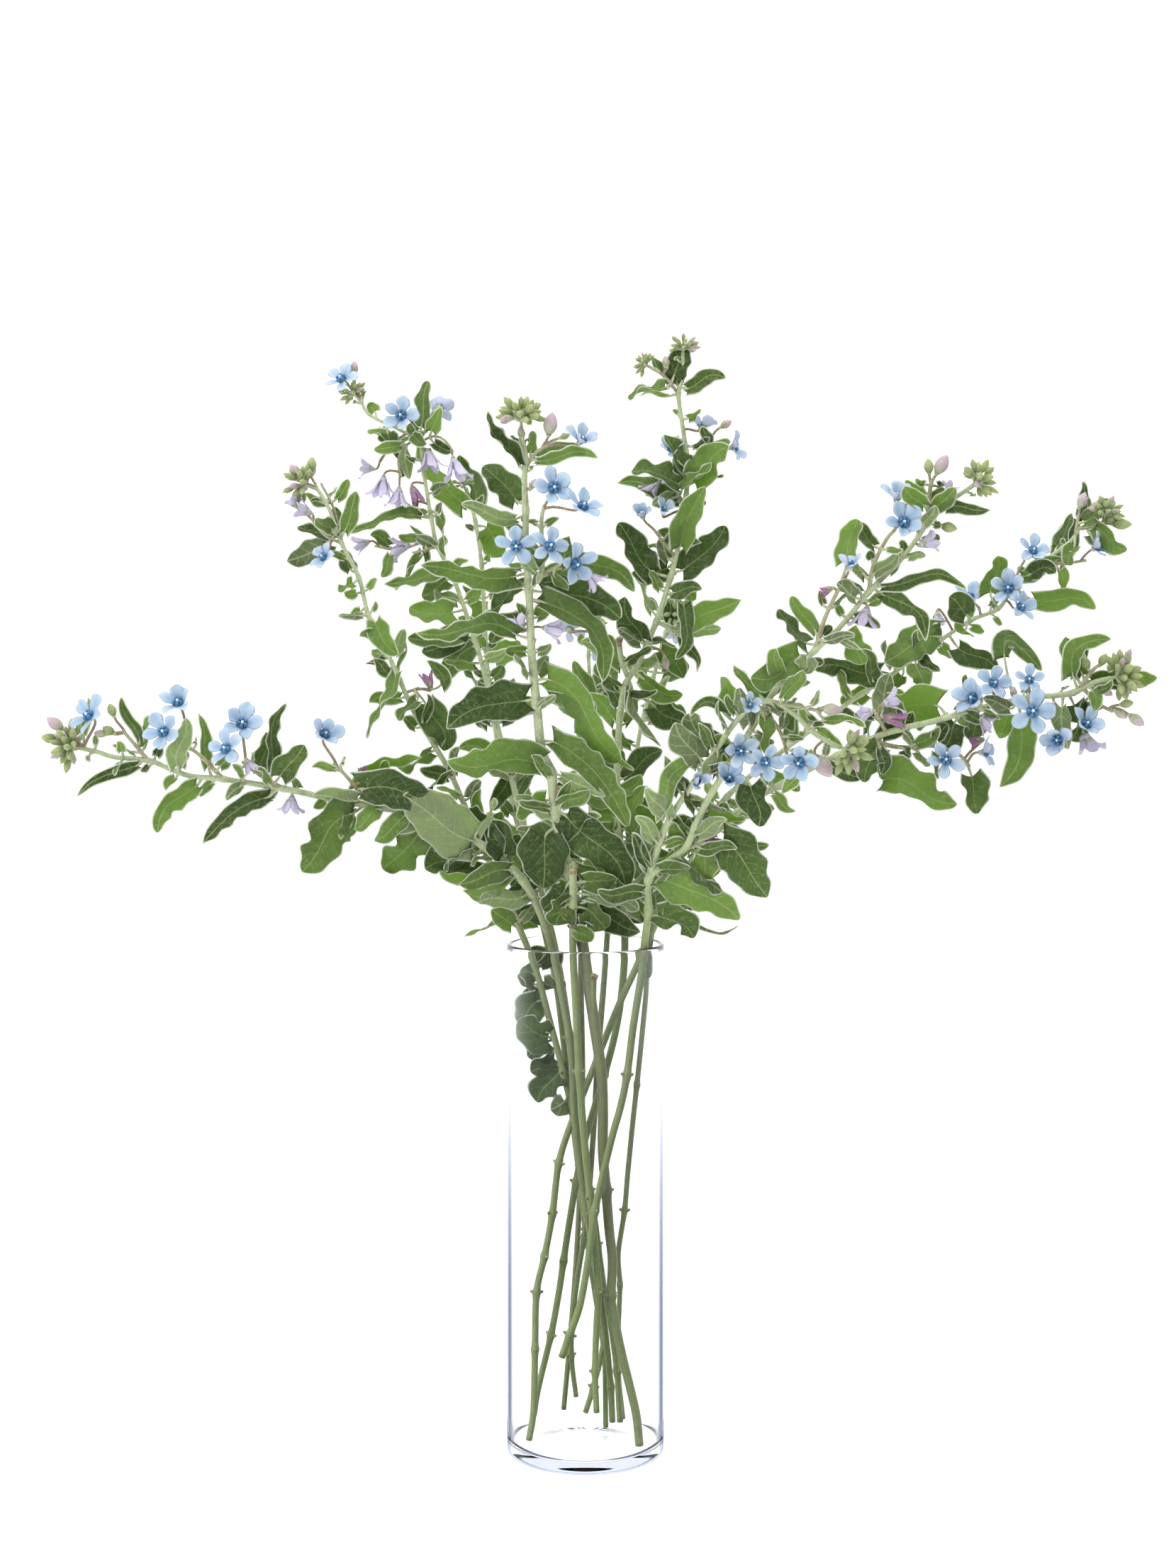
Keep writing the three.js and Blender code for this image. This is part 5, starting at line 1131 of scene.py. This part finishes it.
def head(shape, stalks, stem, shoots, values, draws):
    """A tight cluster of small buds at the tip of a shoot: every other one has sepals, and a few are pink."""
    across, up, radius, count = values
    radius = HEAD_GROWTH * radius
    root = nearest_on(shoots, across, up)
    u, v = np.array(float(across)), np.array(float(up))
    centre = seen(u, v, lane_depth(stem, u, v, root["offset"]))
    out = unit(centre - root["point"]) if root["gap"] > 0.5 else np.array([0.0, 0.0, 1.0])
    if root["gap"] > 0.3 * radius:
        tube(stalks, curve_between(root["point"], out, centre, out, 6), np.linspace(1.3, 0.9, 6), 7,
             STALK_GREEN, 0.5, (0.1, root["up"]))
    side, rise = square_to(out)
    full = 2 * count + 5
    for i in range(full):
        share = (i + 0.5) / full
        tilt = math.radians(10 + 98 * math.sqrt(share))
        angle = 2.4 * i + 0.3 * draws.random()
        way = math.cos(tilt) * out + math.sin(tilt) * (math.cos(angle) * side + math.sin(angle) * rise)
        long = radius * draws.uniform(0.7, 0.95)
        start = centre - out * 0.1 * radius + way * radius * draws.uniform(0.3, 0.62)
        tone = draws.random()
        wide = long * draws.uniform(0.32, 0.45)
        slot = BUD_PINK if draws.random() < 0.18 else BUD_GREEN
        bud_body(shape, start, way, long, wide, slot, tone, 0.14, 0.8, 0.85)
        tube(stalks, [centre - out * 0.3 * radius, start - way * 0.4, start + way * 0.8], [0.8, 0.7, 0.9], 6,
             STALK_GREEN, tone, (0.1, root["up"]))
        if i % 2 == 0:
            sepals(shape, start, way, 0.8 * long, 0.42 * wide, 0.6 * wide, BUD_GREEN, tone, angle)


# Open flowers

def facing(yaw, pitch):
    """The direction that a flower looks in. Without yaw and pitch it looks straight to the front."""
    yaw, pitch = math.radians(yaw), math.radians(pitch)
    return np.array([math.sin(yaw) * math.cos(pitch), -math.cos(yaw) * math.cos(pitch), math.sin(pitch)])


def bloom_place(stem, values):
    """The middle of an open flower, at its stem's depth and its own shift."""
    u, v = np.array(float(values[0])), np.array(float(values[1]))
    return seen(u, v, lane_depth(stem, u, v, 0) + values[2])


def bloom(values, stem, draws):
    """An open flower: five petals, the tube behind them, the corona's five scales and the white middle."""
    shape = Shape()
    radius, yaw, pitch, cup, spin = values[3:8]
    front = facing(yaw + draws.uniform(-TURN_DRAW, TURN_DRAW), pitch + draws.uniform(*TILT_DRAW))
    centre = bloom_place(stem, values)
    tone = draws.random()
    cup = cup + draws.uniform(0, CUP_DRAW)
    for spoke in spokes_round(front, math.radians(spin)):
        length = PETAL_LENGTH_SHARE * radius * draws.uniform(0.92, 1.06)
        width = radius * PETAL_WIDTH_SHARE * draws.uniform(0.84, 1.1)
        lean = math.radians(cup + 6) * draws.uniform(0.45, 1.4)
        flare = math.radians(draws.uniform(-16, 44))
        petal(shape, centre + spoke * PETAL_FOOT_SHARE * radius, front, spoke, length, width, lean,
              (PETAL_FRONT, PETAL_BACK), tone, draws, flare)
    tube(shape, [centre - front * 2.6, centre - front * 1.2, centre + front * 0.25],
         [1.5, 1.9, 0.17 * radius], 15, PETAL_BACK, tone, (0.1, 0.4))
    for spoke in spokes_round(front, math.radians(spin + 36)):
        foot = centre + spoke * 0.12 * radius
        top = centre + spoke * 0.16 * radius + front * 0.17 * radius
        tip = centre + spoke * 0.085 * radius + front * 0.235 * radius
        line = curve_between(foot, unit(front + 0.5 * spoke), tip, unit(front * 0.3 - spoke), 7)
        line[3:5] += (top - line[3]) * 0.25
        radii = [share * radius for share in (0.085, 0.1, 0.1, 0.09, 0.075, 0.055, 0.03)]
        tube(shape, line, radii, 9, CORONA, tone, (0.5, 0.5))
    tube(shape, [centre, centre + front * 0.14 * radius, centre + front * 0.26 * radius],
         [0.08 * radius, 0.075 * radius, 0.055 * radius], 12, EYE_WHITE, tone, (0.5, 0.5), ends=(0.3, 0.5))
    return shape


def bloom_stalk(shape, stalks, stem, shoots, values, draws):
    """The stalk and the sepals of an open flower."""
    root = nearest_on(shoots, values[0], values[1])
    front = facing(values[4], values[5])
    foot = bloom_place(stem, values) - front * CALYX_DROP
    tone = draws.random()
    first = unit(unit(foot - root["point"]) + np.array([0, 0, 0.35]))
    line = curve_between(root["point"], first, foot, front, 11)
    tube(stalks, line, np.linspace(PEDICEL_RADIUS * 1.2, PEDICEL_RADIUS, 11), 7, STALK_BROWN, tone,
         (0.8, root["up"]))
    tube(stalks, [foot - front * 0.8, foot, foot + front * 0.9], [1.0, 1.7, 1.5], 10, STALK_GREEN, tone,
         (0.2, root["up"]))
    sepals(shape, foot - front * 0.2, front, 5.2, 2.3, 2.1, BUD_GREEN, tone, draws.uniform(0, 6))


# Vase

def lathe(name, profile, material):
    """A closed body of revolution from (radius, height) points that start and end on the axis."""
    count = len(profile)
    points = [(0.0, 0.0, profile[0][1])]
    for radius, height in profile[1:-1]:
        for i in range(VASE_SEGMENTS):
            angle = 2 * math.pi * i / VASE_SEGMENTS
            points.append((radius * math.cos(angle), radius * math.sin(angle), height))
    points.append((0.0, 0.0, profile[-1][1]))
    faces = []
    last = 1 + (count - 3) * VASE_SEGMENTS
    for i in range(VASE_SEGMENTS):
        faces.append((0, 1 + (i + 1) % VASE_SEGMENTS, 1 + i))
        faces.append((len(points) - 1, last + i, last + (i + 1) % VASE_SEGMENTS))
    faces += grid_faces(count - 2, VASE_SEGMENTS, True, 1)
    mesh = bpy.data.meshes.new(name)
    mesh.from_pydata((np.array(points) * MM).tolist(), [], faces)
    mesh.materials.append(material)
    mesh.polygons.foreach_set("use_smooth", np.ones(len(faces), bool))
    mesh.update()
    return add_object(name, mesh)


def arc(x, y, radius, start, end, steps):
    """Points on a circle round (x, y), between two angles in degrees."""
    for i in range(steps + 1):
        angle = math.radians(start + (end - start) * i / steps)
        yield x + radius * math.cos(angle), y + radius * math.sin(angle)


def vase_profile():
    """From the middle of the foot up the outside, over the rim and down the inside to the floor's middle."""
    inner = VASE_RADIUS - VASE_WALL
    top = VASE_HEIGHT - RIM_ROUND
    profile = [(0, 1.4), (10, 1.3), (22, 0.9), (32, 0.3), (38, 0.0)]
    profile += list(arc(VASE_RADIUS - FOOT_ROUND, FOOT_ROUND, FOOT_ROUND, -80, 0, 8))
    profile += [(VASE_RADIUS, 20), (VASE_RADIUS, 120), (VASE_RADIUS, 220), (VASE_RADIUS, top - 4)]
    profile += list(arc(VASE_RADIUS - RIM_ROUND, top, RIM_ROUND, 0, 90, 6))
    profile += list(arc(inner + RIM_ROUND, top, RIM_ROUND, 90, 180, 6))
    profile += [(inner, top - 4), (inner, 220), (inner, 120), (inner, 24)]
    profile += list(arc(inner - 5, VASE_FLOOR + 5, 5, 0, -80, 8))
    profile += [(30, VASE_FLOOR), (15, VASE_FLOOR - 0.2), (0, VASE_FLOOR - 0.3)]
    return profile


# Materials

class Nodes:
    """Short names for the nodes of a material or of the world."""

    def __init__(self, owner, output="ShaderNodeOutputMaterial"):
        self.owner = owner
        owner.use_nodes = True
        self.tree = owner.node_tree
        self.tree.nodes.clear()
        self.output = self.add(output)

    def add(self, kind, **settings):
        node = self.tree.nodes.new(kind)
        for key, value in settings.items():
            setattr(node, key, value)
        return node

    def join(self, source, socket):
        """Links a socket to another node's, or gives it a number or a colour."""
        if isinstance(source, bpy.types.NodeSocket):
            self.tree.links.new(source, socket)
        elif isinstance(source, tuple):
            socket.default_value = (*source, 1.0)
        else:
            socket.default_value = source

    def math(self, operation, first, second=0.0, clamp=False):
        node = self.add("ShaderNodeMath", operation=operation, use_clamp=clamp)
        self.join(first, node.inputs[0])
        self.join(second, node.inputs[1])
        return node.outputs[0]

    def times(self, first, second):
        return self.math("MULTIPLY", first, second)

    def plus(self, first, second):
        return self.math("ADD", first, second)

    def ramp(self, value, low, high, start=0.0, end=1.0):
        """Goes smoothly from start to end while the value goes from low to high."""
        node = self.add("ShaderNodeMapRange", interpolation_type="SMOOTHSTEP")
        for source, socket in zip((value, low, high, start, end), node.inputs):
            self.join(source, socket)
        return node.outputs[0]

    def mix(self, share, first, second):
        """A colour between two others."""
        node = self.add("ShaderNodeMix", data_type="RGBA")
        self.join(share, node.inputs["Factor"])
        self.join(first, node.inputs[6])
        self.join(second, node.inputs[7])
        return node.outputs[2]

    def blend(self, share, first, second):
        """A shader between two others."""
        node = self.add("ShaderNodeMixShader")
        for source, socket in zip((share, first, second), node.inputs):
            self.join(source, socket)
        return node.outputs[0]

    def coordinates(self, kind):
        return self.add("ShaderNodeTexCoord").outputs[kind]

    def attribute(self, name):
        return self.add("ShaderNodeAttribute", attribute_name=name)

    def split(self, vector):
        node = self.add("ShaderNodeSeparateXYZ")
        self.join(vector, node.inputs[0])
        return node.outputs

    def place(self):
        """Where a point lies on its own leaf, stalk, bud or petal."""
        return self.split(self.attribute("place").outputs["Vector"])

    def tone(self):
        return self.attribute("tone").outputs["Fac"]

    def noise(self, scale, detail=3.0, roughness=0.55):
        node = self.add("ShaderNodeTexNoise")
        self.join(self.coordinates("Object"), node.inputs["Vector"])
        node.inputs["Scale"].default_value = scale
        node.inputs["Detail"].default_value = detail
        node.inputs["Roughness"].default_value = roughness
        return node.outputs["Fac"]

    def cells(self, scale):
        """How far a point lies from the borders of small cells."""
        node = self.add("ShaderNodeTexVoronoi", feature="DISTANCE_TO_EDGE")
        self.join(self.coordinates("Object"), node.inputs["Vector"])
        node.inputs["Scale"].default_value = scale
        return node.outputs["Distance"]

    def bump(self, height, strength, distance):
        node = self.add("ShaderNodeBump")
        self.join(height, node.inputs["Height"])
        node.inputs["Strength"].default_value = strength
        node.inputs["Distance"].default_value = distance
        return node.outputs["Normal"]

    def surface(self, color, roughness, normal=None, sheen=0.0, glow=None, share=0.0, specular=0.5,
                shine=0.0):
        """A Principled surface, mixed with light that comes through from behind when glow is given."""
        shader = self.add("ShaderNodeBsdfPrincipled")
        self.join(color, shader.inputs["Base Color"])
        self.join(roughness, shader.inputs["Roughness"])
        shader.inputs["Specular IOR Level"].default_value = specular
        shader.inputs["Sheen Weight"].default_value = sheen
        shader.inputs["Sheen Roughness"].default_value = 0.34
        shader.inputs["Sheen Tint"].default_value = (0.93, 0.96, 0.86, 1.0)
        shader.inputs["Emission Strength"].default_value = shine
        if normal is not None:
            self.join(normal, shader.inputs["Normal"])
        result = shader.outputs[0]
        if glow is not None:
            through = self.add("ShaderNodeBsdfTranslucent")
            self.join(glow, through.inputs["Color"])
            result = self.blend(share, result, through.outputs[0])
        self.join(result, self.output.inputs["Surface"])
        return self.owner


def material_nodes(name):
    return Nodes(bpy.data.materials.new(name))


def leaf_material(name, dark, middle, vein, downy_backlit_rim, glow, under):
    """A leaf's side: blotchy green with a pale midrib, arched side veins, a fine net, and a pale rim that is
    the down's own colour plus painted backlight.
    """
    n = material_nodes(name)
    along, across, half = n.place()
    tone = n.tone()
    side = n.math("ABSOLUTE", across)
    patches = n.noise(28, 4)
    fine = n.noise(420, 2)
    midrib = n.ramp(side, 0.25, 0.85 if under else 0.6, 1.0, 0.0)
    arch = n.math("SUBTRACT", along, n.times(n.math("POWER", side, 1.35), 0.42))
    wander = n.times(patches, 5.0)
    step = n.math("FRACT", n.math("DIVIDE", n.plus(arch, wander), 7.5))
    away = n.math("ABSOLUTE", n.math("SUBTRACT", step, 0.5))
    width = 0.09 if under else 0.07
    reach = n.ramp(n.math("DIVIDE", side, half), 0.45, 0.95, 1.0, 0.15)
    veins = n.times(n.ramp(away, 0.0, width, 1.0, 0.0), reach)
    net = n.ramp(n.cells(560), 0.02, 0.12, 1.0, 0.0)
    edge = n.ramp(n.math("SUBTRACT", half, side), 0.35, 1.15, 1.0, 0.0)
    # Per-leaf tone from dark to middle green: partly random leaf colour, partly painted shade on the low-tone
    # leaves.
    light = n.ramp(n.plus(n.times(patches, 0.6), n.times(tone, 0.6)), 0.2, 0.95)
    color = n.mix(light, dark, middle)
    color = n.mix(n.times(net, 0.2 if under else 0.16), color, vein)
    color = n.mix(n.times(veins, 0.8 if under else 0.42), color, vein)
    color = n.mix(n.times(midrib, 0.85 if under else 0.6), color, vein)
    # Pale rim: partly the down's own pale colour, partly painted backlight.
    color = n.mix(edge, color, downy_backlit_rim)
    color = n.mix(n.times(n.ramp(fine, 0.5, 0.75), 0.14), color, downy_backlit_rim)
    height = n.times(n.plus(veins, midrib), 1.0 if under else -1.0)
    height = n.plus(height, n.times(net, 0.25 if under else -0.25))
    height = n.plus(height, n.times(fine, 0.35))
    # Painted shade and backlight: the light a leaf lets through is dimmed on low-tone leaves and brightened
    # on high-tone ones.
    painted_backlight = n.ramp(n.plus(n.times(patches, 0.5), n.times(tone, 0.75)), 0.3, 0.95)
    through = n.mix(painted_backlight, tuple(0.4 * part for part in glow), glow)
    ribs = n.math("ADD", veins, midrib, clamp=True)
    through = n.mix(n.times(ribs, n.ramp(painted_backlight, 0.0, 1.0, 0.22, 0.5)), through, vein)
    # The same pale rim in the light let through: painted backlight on the downy edge.
    through = n.mix(edge, through, downy_backlit_rim)
    return n.surface(color, n.ramp(fine, 0.3, 0.7, 0.5, 0.68), n.bump(height, 0.7, 0.0007),
                     sheen=0.6 if under else 0.16, glow=through, share=0.46, specular=0.4)


def stalk_material(name, low, high, sheen):
    """A downy stem: olive with streaks low down, paler green higher up, brown where the place says so."""
    n = material_nodes(name)
    _, brown, up = n.place()
    tone = n.tone()
    streaks = n.noise(160, 4, 0.65)
    fine = n.noise(900, 2)
    color = n.mix(n.ramp(up, 180, 470), low, high)
    color = n.mix(n.ramp(up, 40, 150, 0.65, 0.0), color, (0.19, 0.27, 0.08))
    color = n.mix(n.times(n.ramp(streaks, 0.45, 0.75), 0.6), color, (0.12, 0.13, 0.05))
    color = n.mix(n.times(brown, n.ramp(streaks, 0.2, 0.7, 0.55, 1.0)), color, (0.21, 0.125, 0.085))
    down = n.ramp(up, 250, 420, 0.1, 0.42)
    color = n.mix(n.times(n.ramp(fine, 0.52, 0.74), down), color, (0.62, 0.66, 0.5))
    color = n.mix(n.times(tone, n.ramp(up, 300, 400, 0.36, 0.12)), color, (0.25, 0.38, 0.09))
    return n.surface(color, 0.62, n.bump(n.plus(fine, streaks), 0.4, 0.0005), sheen)


def bud_material(name, base, tip, patch, glow, sheen=0.5):
    """A bud's skin: paler or darker towards the tip, blotched, with darker grooves and a little down."""
    n = material_nodes(name)
    along, ridge, _ = n.place()
    tone = n.tone()
    blotch = n.noise(240, 3)
    fine = n.noise(1300, 2)
    color = n.mix(n.ramp(n.plus(along, n.times(tone, 0.3)), 0.15, 1.0), base, tip)
    color = n.mix(n.times(n.ramp(blotch, 0.45, 0.72), 0.6), color, patch)
    groove = n.ramp(n.math("ABSOLUTE", ridge), 0.0, 0.3, 1.0, 0.0)
    color = n.mix(n.times(groove, 0.35), color, patch)
    color = n.mix(n.times(n.ramp(fine, 0.52, 0.72), 0.22), color, (0.8, 0.82, 0.74))
    return n.surface(color, 0.62, n.bump(n.plus(fine, blotch), 0.35, 0.0004), sheen, glow, share=0.25)


def petal_material(name, throat, middle, tip, veins, glow):
    """A petal's side, with a deeper throat, faint long veins and paler ends."""
    n = material_nodes(name)
    along, across, _ = n.place()
    tone = n.tone()
    cloud = n.noise(110, 3)
    fine = n.noise(1100, 2)
    color = n.mix(n.ramp(n.plus(along, n.times(cloud, 0.25)), 0.05, 0.42), throat, middle)
    color = n.mix(n.ramp(n.plus(along, n.times(tone, 0.35)), 0.5, 1.25), color, tip)
    side = n.math("ABSOLUTE", across)
    color = n.mix(n.times(n.ramp(side, 0.35, 1.0), 0.75), color, tip)
    midline = n.times(n.ramp(side, 0.0, 0.2, 1.0, 0.0), n.ramp(along, 0.3, 0.95, 0.5, 0.0))
    color = n.mix(midline, color, veins)
    ray = n.math("FRACT", n.plus(n.times(across, 3.5), n.times(cloud, 0.6)))
    line = n.ramp(n.math("ABSOLUTE", n.math("SUBTRACT", ray, 0.5)), 0.0, 0.16, 1.0, 0.0)
    color = n.mix(n.times(line, 0.3), color, veins)
    color = n.mix(n.times(n.ramp(cloud, 0.4, 0.7), 0.3), color, tip)
    height = n.plus(n.times(line, -0.6), n.times(fine, 0.4))
    return n.surface(color, 0.58, n.bump(height, 0.5, 0.0004), sheen=0.22, glow=glow, share=0.38,
                     specular=0.35)


def plain_petal_part(name, dark, light, roughness):
    """A faintly clouded colour for the small parts in the middle of a flower."""
    n = material_nodes(name)
    cloud = n.noise(600, 3)
    return n.surface(n.mix(cloud, dark, light), roughness, n.bump(cloud, 0.25, 0.0002), sheen=0.1)


def glass_material():
    """Clear glass, faintly violet where it is looked through edge on. Lamps shine through it."""
    n = material_nodes("clear_glass")
    shader = n.add("ShaderNodeBsdfPrincipled")
    shader.inputs["Base Color"].default_value = (0.985, 0.99, 1.0, 1.0)
    shader.inputs["Roughness"].default_value = 0.0
    shader.inputs["IOR"].default_value = 1.42
    shader.inputs["Transmission Weight"].default_value = 1.0
    clear = n.add("ShaderNodeBsdfTransparent")
    clear.inputs["Color"].default_value = (0.99, 0.99, 1.0, 1.0)
    shadow = n.add("ShaderNodeLightPath").outputs["Is Shadow Ray"]
    n.join(n.blend(shadow, shader.outputs[0], clear.outputs[0]), n.output.inputs["Surface"])
    absorb = n.add("ShaderNodeVolumeAbsorption")
    absorb.inputs["Color"].default_value = (0.3, 0.38, 0.7, 1.0)
    absorb.inputs["Density"].default_value = 7.0
    n.join(absorb.outputs[0], n.output.inputs["Volume"])
    return n.owner


# Places of the materials in each kind of piece
LEAF_TOP, LEAF_UNDER = 0, 1
STALK_GREEN, STALK_BROWN = 0, 1
BUD_GREEN, BUD_PINK, BUD_LILAC, BUD_WITHERED = 0, 1, 2, 3
PETAL_FRONT, PETAL_BACK, CORONA, EYE_WHITE = 0, 1, 2, 3

leaf_top = leaf_material(
    "leaf_top", dark=(0.026, 0.066, 0.01), middle=(0.15, 0.24, 0.055), vein=(0.44, 0.54, 0.22),
    downy_backlit_rim=(0.8, 0.84, 0.7), glow=(0.5, 0.76, 0.06), under=False)
leaf_under = leaf_material(
    "leaf_under", dark=(0.11, 0.165, 0.055), middle=(0.27, 0.345, 0.15), vein=(0.52, 0.58, 0.36),
    downy_backlit_rim=(0.8, 0.83, 0.72), glow=(0.44, 0.66, 0.08), under=True)
stalk_green = stalk_material("stalk_green", low=(0.15, 0.18, 0.07), high=(0.38, 0.44, 0.26), sheen=0.55)
stalk_brown = stalk_material("stalk_brown", low=(0.18, 0.135, 0.085), high=(0.26, 0.22, 0.13), sheen=0.25)
bud_green = bud_material(
    "bud_green", base=(0.2, 0.3, 0.08), tip=(0.36, 0.44, 0.18), patch=(0.42, 0.4, 0.2), glow=(0.4, 0.55, 0.1))
bud_pink = bud_material(
    "bud_pink", base=(0.4, 0.44, 0.26), tip=(0.5, 0.36, 0.42), patch=(0.62, 0.56, 0.6), glow=(0.7, 0.55, 0.6))
bud_lilac = bud_material(
    "bud_lilac", base=(0.5, 0.48, 0.66), tip=(0.64, 0.6, 0.74), patch=(0.5, 0.38, 0.56),
    glow=(0.75, 0.7, 0.9), sheen=0.3)
bud_withered = bud_material(
    "bud_withered", base=(0.4, 0.2, 0.36), tip=(0.36, 0.17, 0.33), patch=(0.2, 0.07, 0.17),
    glow=(0.5, 0.25, 0.45), sheen=0.3)
petal_front = petal_material(
    "petal_front", throat=(0.13, 0.3, 0.48), middle=(0.38, 0.56, 0.73), tip=(0.68, 0.78, 0.86),
    veins=(0.22, 0.38, 0.6), glow=(0.58, 0.74, 0.9))
petal_back = petal_material(
    "petal_back", throat=(0.56, 0.58, 0.6), middle=(0.56, 0.58, 0.7), tip=(0.62, 0.66, 0.76),
    veins=(0.5, 0.42, 0.6), glow=(0.66, 0.68, 0.84))
corona = plain_petal_part("corona", dark=(0.035, 0.12, 0.26), light=(0.07, 0.22, 0.4), roughness=0.35)
eye_white = plain_petal_part("eye_white", dark=(0.5, 0.62, 0.66), light=(0.8, 0.85, 0.82), roughness=0.45)


# The bunch

def stem_and_twigs(shape, stem, shoots, draws):
    """A stem and its side shoots, brown low down and where they are thin, with leaf scars and cut stubs."""
    for number, line in enumerate(shoots):
        points = line_of(line)
        thin = number > 0 and float(line["radius"].max()) < THIN_TWIG
        brown = np.full(len(points), TWIG_BROWN if thin else STEM_BROWN)
        brown = np.where(line["up"] < LOW_BROWN_BELOW, np.maximum(brown, LOW_BROWN), brown)
        tube(shape, points, line["radius"], STEM_SIDES if number == 0 else TWIG_SIDES, STALK_GREEN,
             draws.random(), np.column_stack([brown, line["up"]]), ends=(0.05, 0.4))
        if number == 0:
            leaf_scars(shape, line, points, frames_along(points)[0], stem["lane"])
    for name, across, up, lean_across, lean_up, radius in STUBS:
        if name == stem["name"]:
            lean = unit(np.array([lean_across, 0.0, lean_up]))
            star_stub(shape, nearest_on(shoots, across, up)["point"] + lean, lean, radius)


def shapes_of(stem, shoots, draws):
    """The stalks, leaves and buds of a stem, each as one shape."""
    stalks, leaves, buds = Shape(), Shape(), Shape()
    stem_and_twigs(stalks, stem, shoots, draws)
    for values in stem["leaves"]:
        leaf(leaves, stalks, stem, shoots, values, draws)
    small_leaves(leaves, stalks, stem, shoots, draws)
    vase_draws = np.random.default_rng(VASE_LEAF_SEED + stem["lane"])
    for name, *values in VASE_LEAVES:
        if name == stem["name"]:
            leaf(leaves, stalks, stem, shoots, values, vase_draws)
    for values in stem["buds"]:
        bud(buds, stalks, stem, shoots, values, draws)
    for values in stem["heads"]:
        head(buds, stalks, stem, shoots, values, draws)
    for values in stem["blooms"]:
        bloom_stalk(buds, stalks, stem, shoots, values, draws)
    return stalks, leaves, buds


for stem in STEMS:
    name = stem["name"]
    draws = np.random.default_rng(STEM_SEED + stem["lane"])
    stalks, leaves, buds = shapes_of(stem, shoots_of(stem), draws)
    for kind, shape, materials in (
        ("stalk", stalks, [stalk_green, stalk_brown]),
        ("leaves", leaves, [leaf_top, leaf_under]),
        ("buds", buds, [bud_green, bud_pink, bud_lilac, bud_withered]),
    ):
        if shape.count:
            piece = shape.to_object(f"{kind}_{name}", materials)
            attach(piece, "root")
            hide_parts(f"stem_{name}")
    for number, values in enumerate(stem["blooms"]):
        piece = bloom(values, stem, draws).to_object(f"flower_{name}_{number + 1}",
                                                     [petal_front, petal_back, corona, eye_white])
        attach(piece, "root")
        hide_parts(f"bloom_{name}_{number + 1}")

vase = lathe("glass_vase", vase_profile(), glass_material())
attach(vase, "root")
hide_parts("vase")


# Floor, light and camera. The glass doesn't mirror the floor, which would veil what stands in it.

def white_floor():
    """A round floor that glows faintly, so that it stays pale to its far edge."""
    edge = []
    for i in range(0, 360, 3):
        angle = math.radians(i)
        edge.append((FLOOR_RADIUS * MM * math.cos(angle), FLOOR_RADIUS * MM * math.sin(angle), 0))
    mesh = bpy.data.meshes.new("floor")
    mesh.from_pydata(edge, [], [tuple(range(len(edge)))])
    mesh.materials.append(material_nodes("pale_floor").surface((0.9, 0.9, 0.9), 0.9, shine=FLOOR_GLOW))
    floor = add_object("floor", mesh)
    floor.location.z = -FLOOR_DROP * MM
    floor.visible_glossy = False
    floor.visible_transmission = False


def studio_world():
    """A sky that is lighter behind the bunch, and white to the eye. Two dim strips in it, low down and to
    either side, draw the sides of the glass."""
    n = Nodes(bpy.data.worlds.new("studio"), "ShaderNodeOutputWorld")
    east, north, high = n.split(n.coordinates("Generated"))
    aside = n.math("ABSOLUTE", east)
    strip = n.times(n.ramp(aside, 0.24, 0.34), n.ramp(aside, 0.5, 0.66, 1.0, 0.0))
    strip = n.times(strip, n.ramp(high, -0.3, -0.12, 1.0, 0.12))
    shade = n.add("ShaderNodeCombineColor")
    n.join(n.ramp(strip, 0.0, 1.0, 1.0, 0.62), shade.inputs["Red"])
    n.join(n.ramp(strip, 0.0, 1.0, 1.0, 0.72), shade.inputs["Green"])
    n.join(1.0, shade.inputs["Blue"])
    light = n.times(n.ramp(north, -0.35, 0.7, 0.42, 1.5), n.ramp(strip, 0.0, 1.0, 1.0, 0.26))
    strength = n.add("ShaderNodeMix")
    n.join(n.add("ShaderNodeLightPath").outputs["Is Camera Ray"], strength.inputs[0])
    n.join(light, strength.inputs[2])
    n.join(SKY_SEEN, strength.inputs[3])
    background = n.add("ShaderNodeBackground")
    n.join(shade.outputs[0], background.inputs["Color"])
    n.join(strength.outputs[0], background.inputs["Strength"])
    n.join(background.outputs[0], n.output.inputs["Surface"])
    return n.owner


def softbox(name, place, aim, size, power):
    """A lamp with a flat bright face, turned towards a point. Places and sizes are in metres."""
    light = bpy.data.lights.new(name, "AREA")
    light.shape = "RECTANGLE"
    light.size, light.size_y = size
    light.energy = power
    lamp = add_object(name, light)
    lamp.location = place
    lamp.rotation_mode = "QUATERNION"
    lamp.rotation_quaternion = (Vector(aim) - Vector(place)).to_track_quat("-Z", "Y")


white_floor()
bpy.context.scene.world = studio_world()
softbox("key_above", (0.3, -0.5, 2.6), (0, 0, 0.4), (2.4, 2.4), 62)
softbox("fill_left", (-2.2, -1.6, 1.5), (0, 0, 0.45), (1.4, 1.4), 40)

camera_data = bpy.data.cameras.new("camera")
camera_data.sensor_width = SENSOR_WIDTH
camera_data.lens = LENS
camera_data.shift_y = SHIFT_UP
camera = add_object("camera", camera_data)
camera.location = (EYE_ACROSS * MM, -EYE_DISTANCE * MM, EYE_HEIGHT * MM)
camera.rotation_euler = (math.radians(90), 0, 0)
bpy.context.scene.camera = camera
bpy.context.scene.view_settings.view_transform = "Standard"
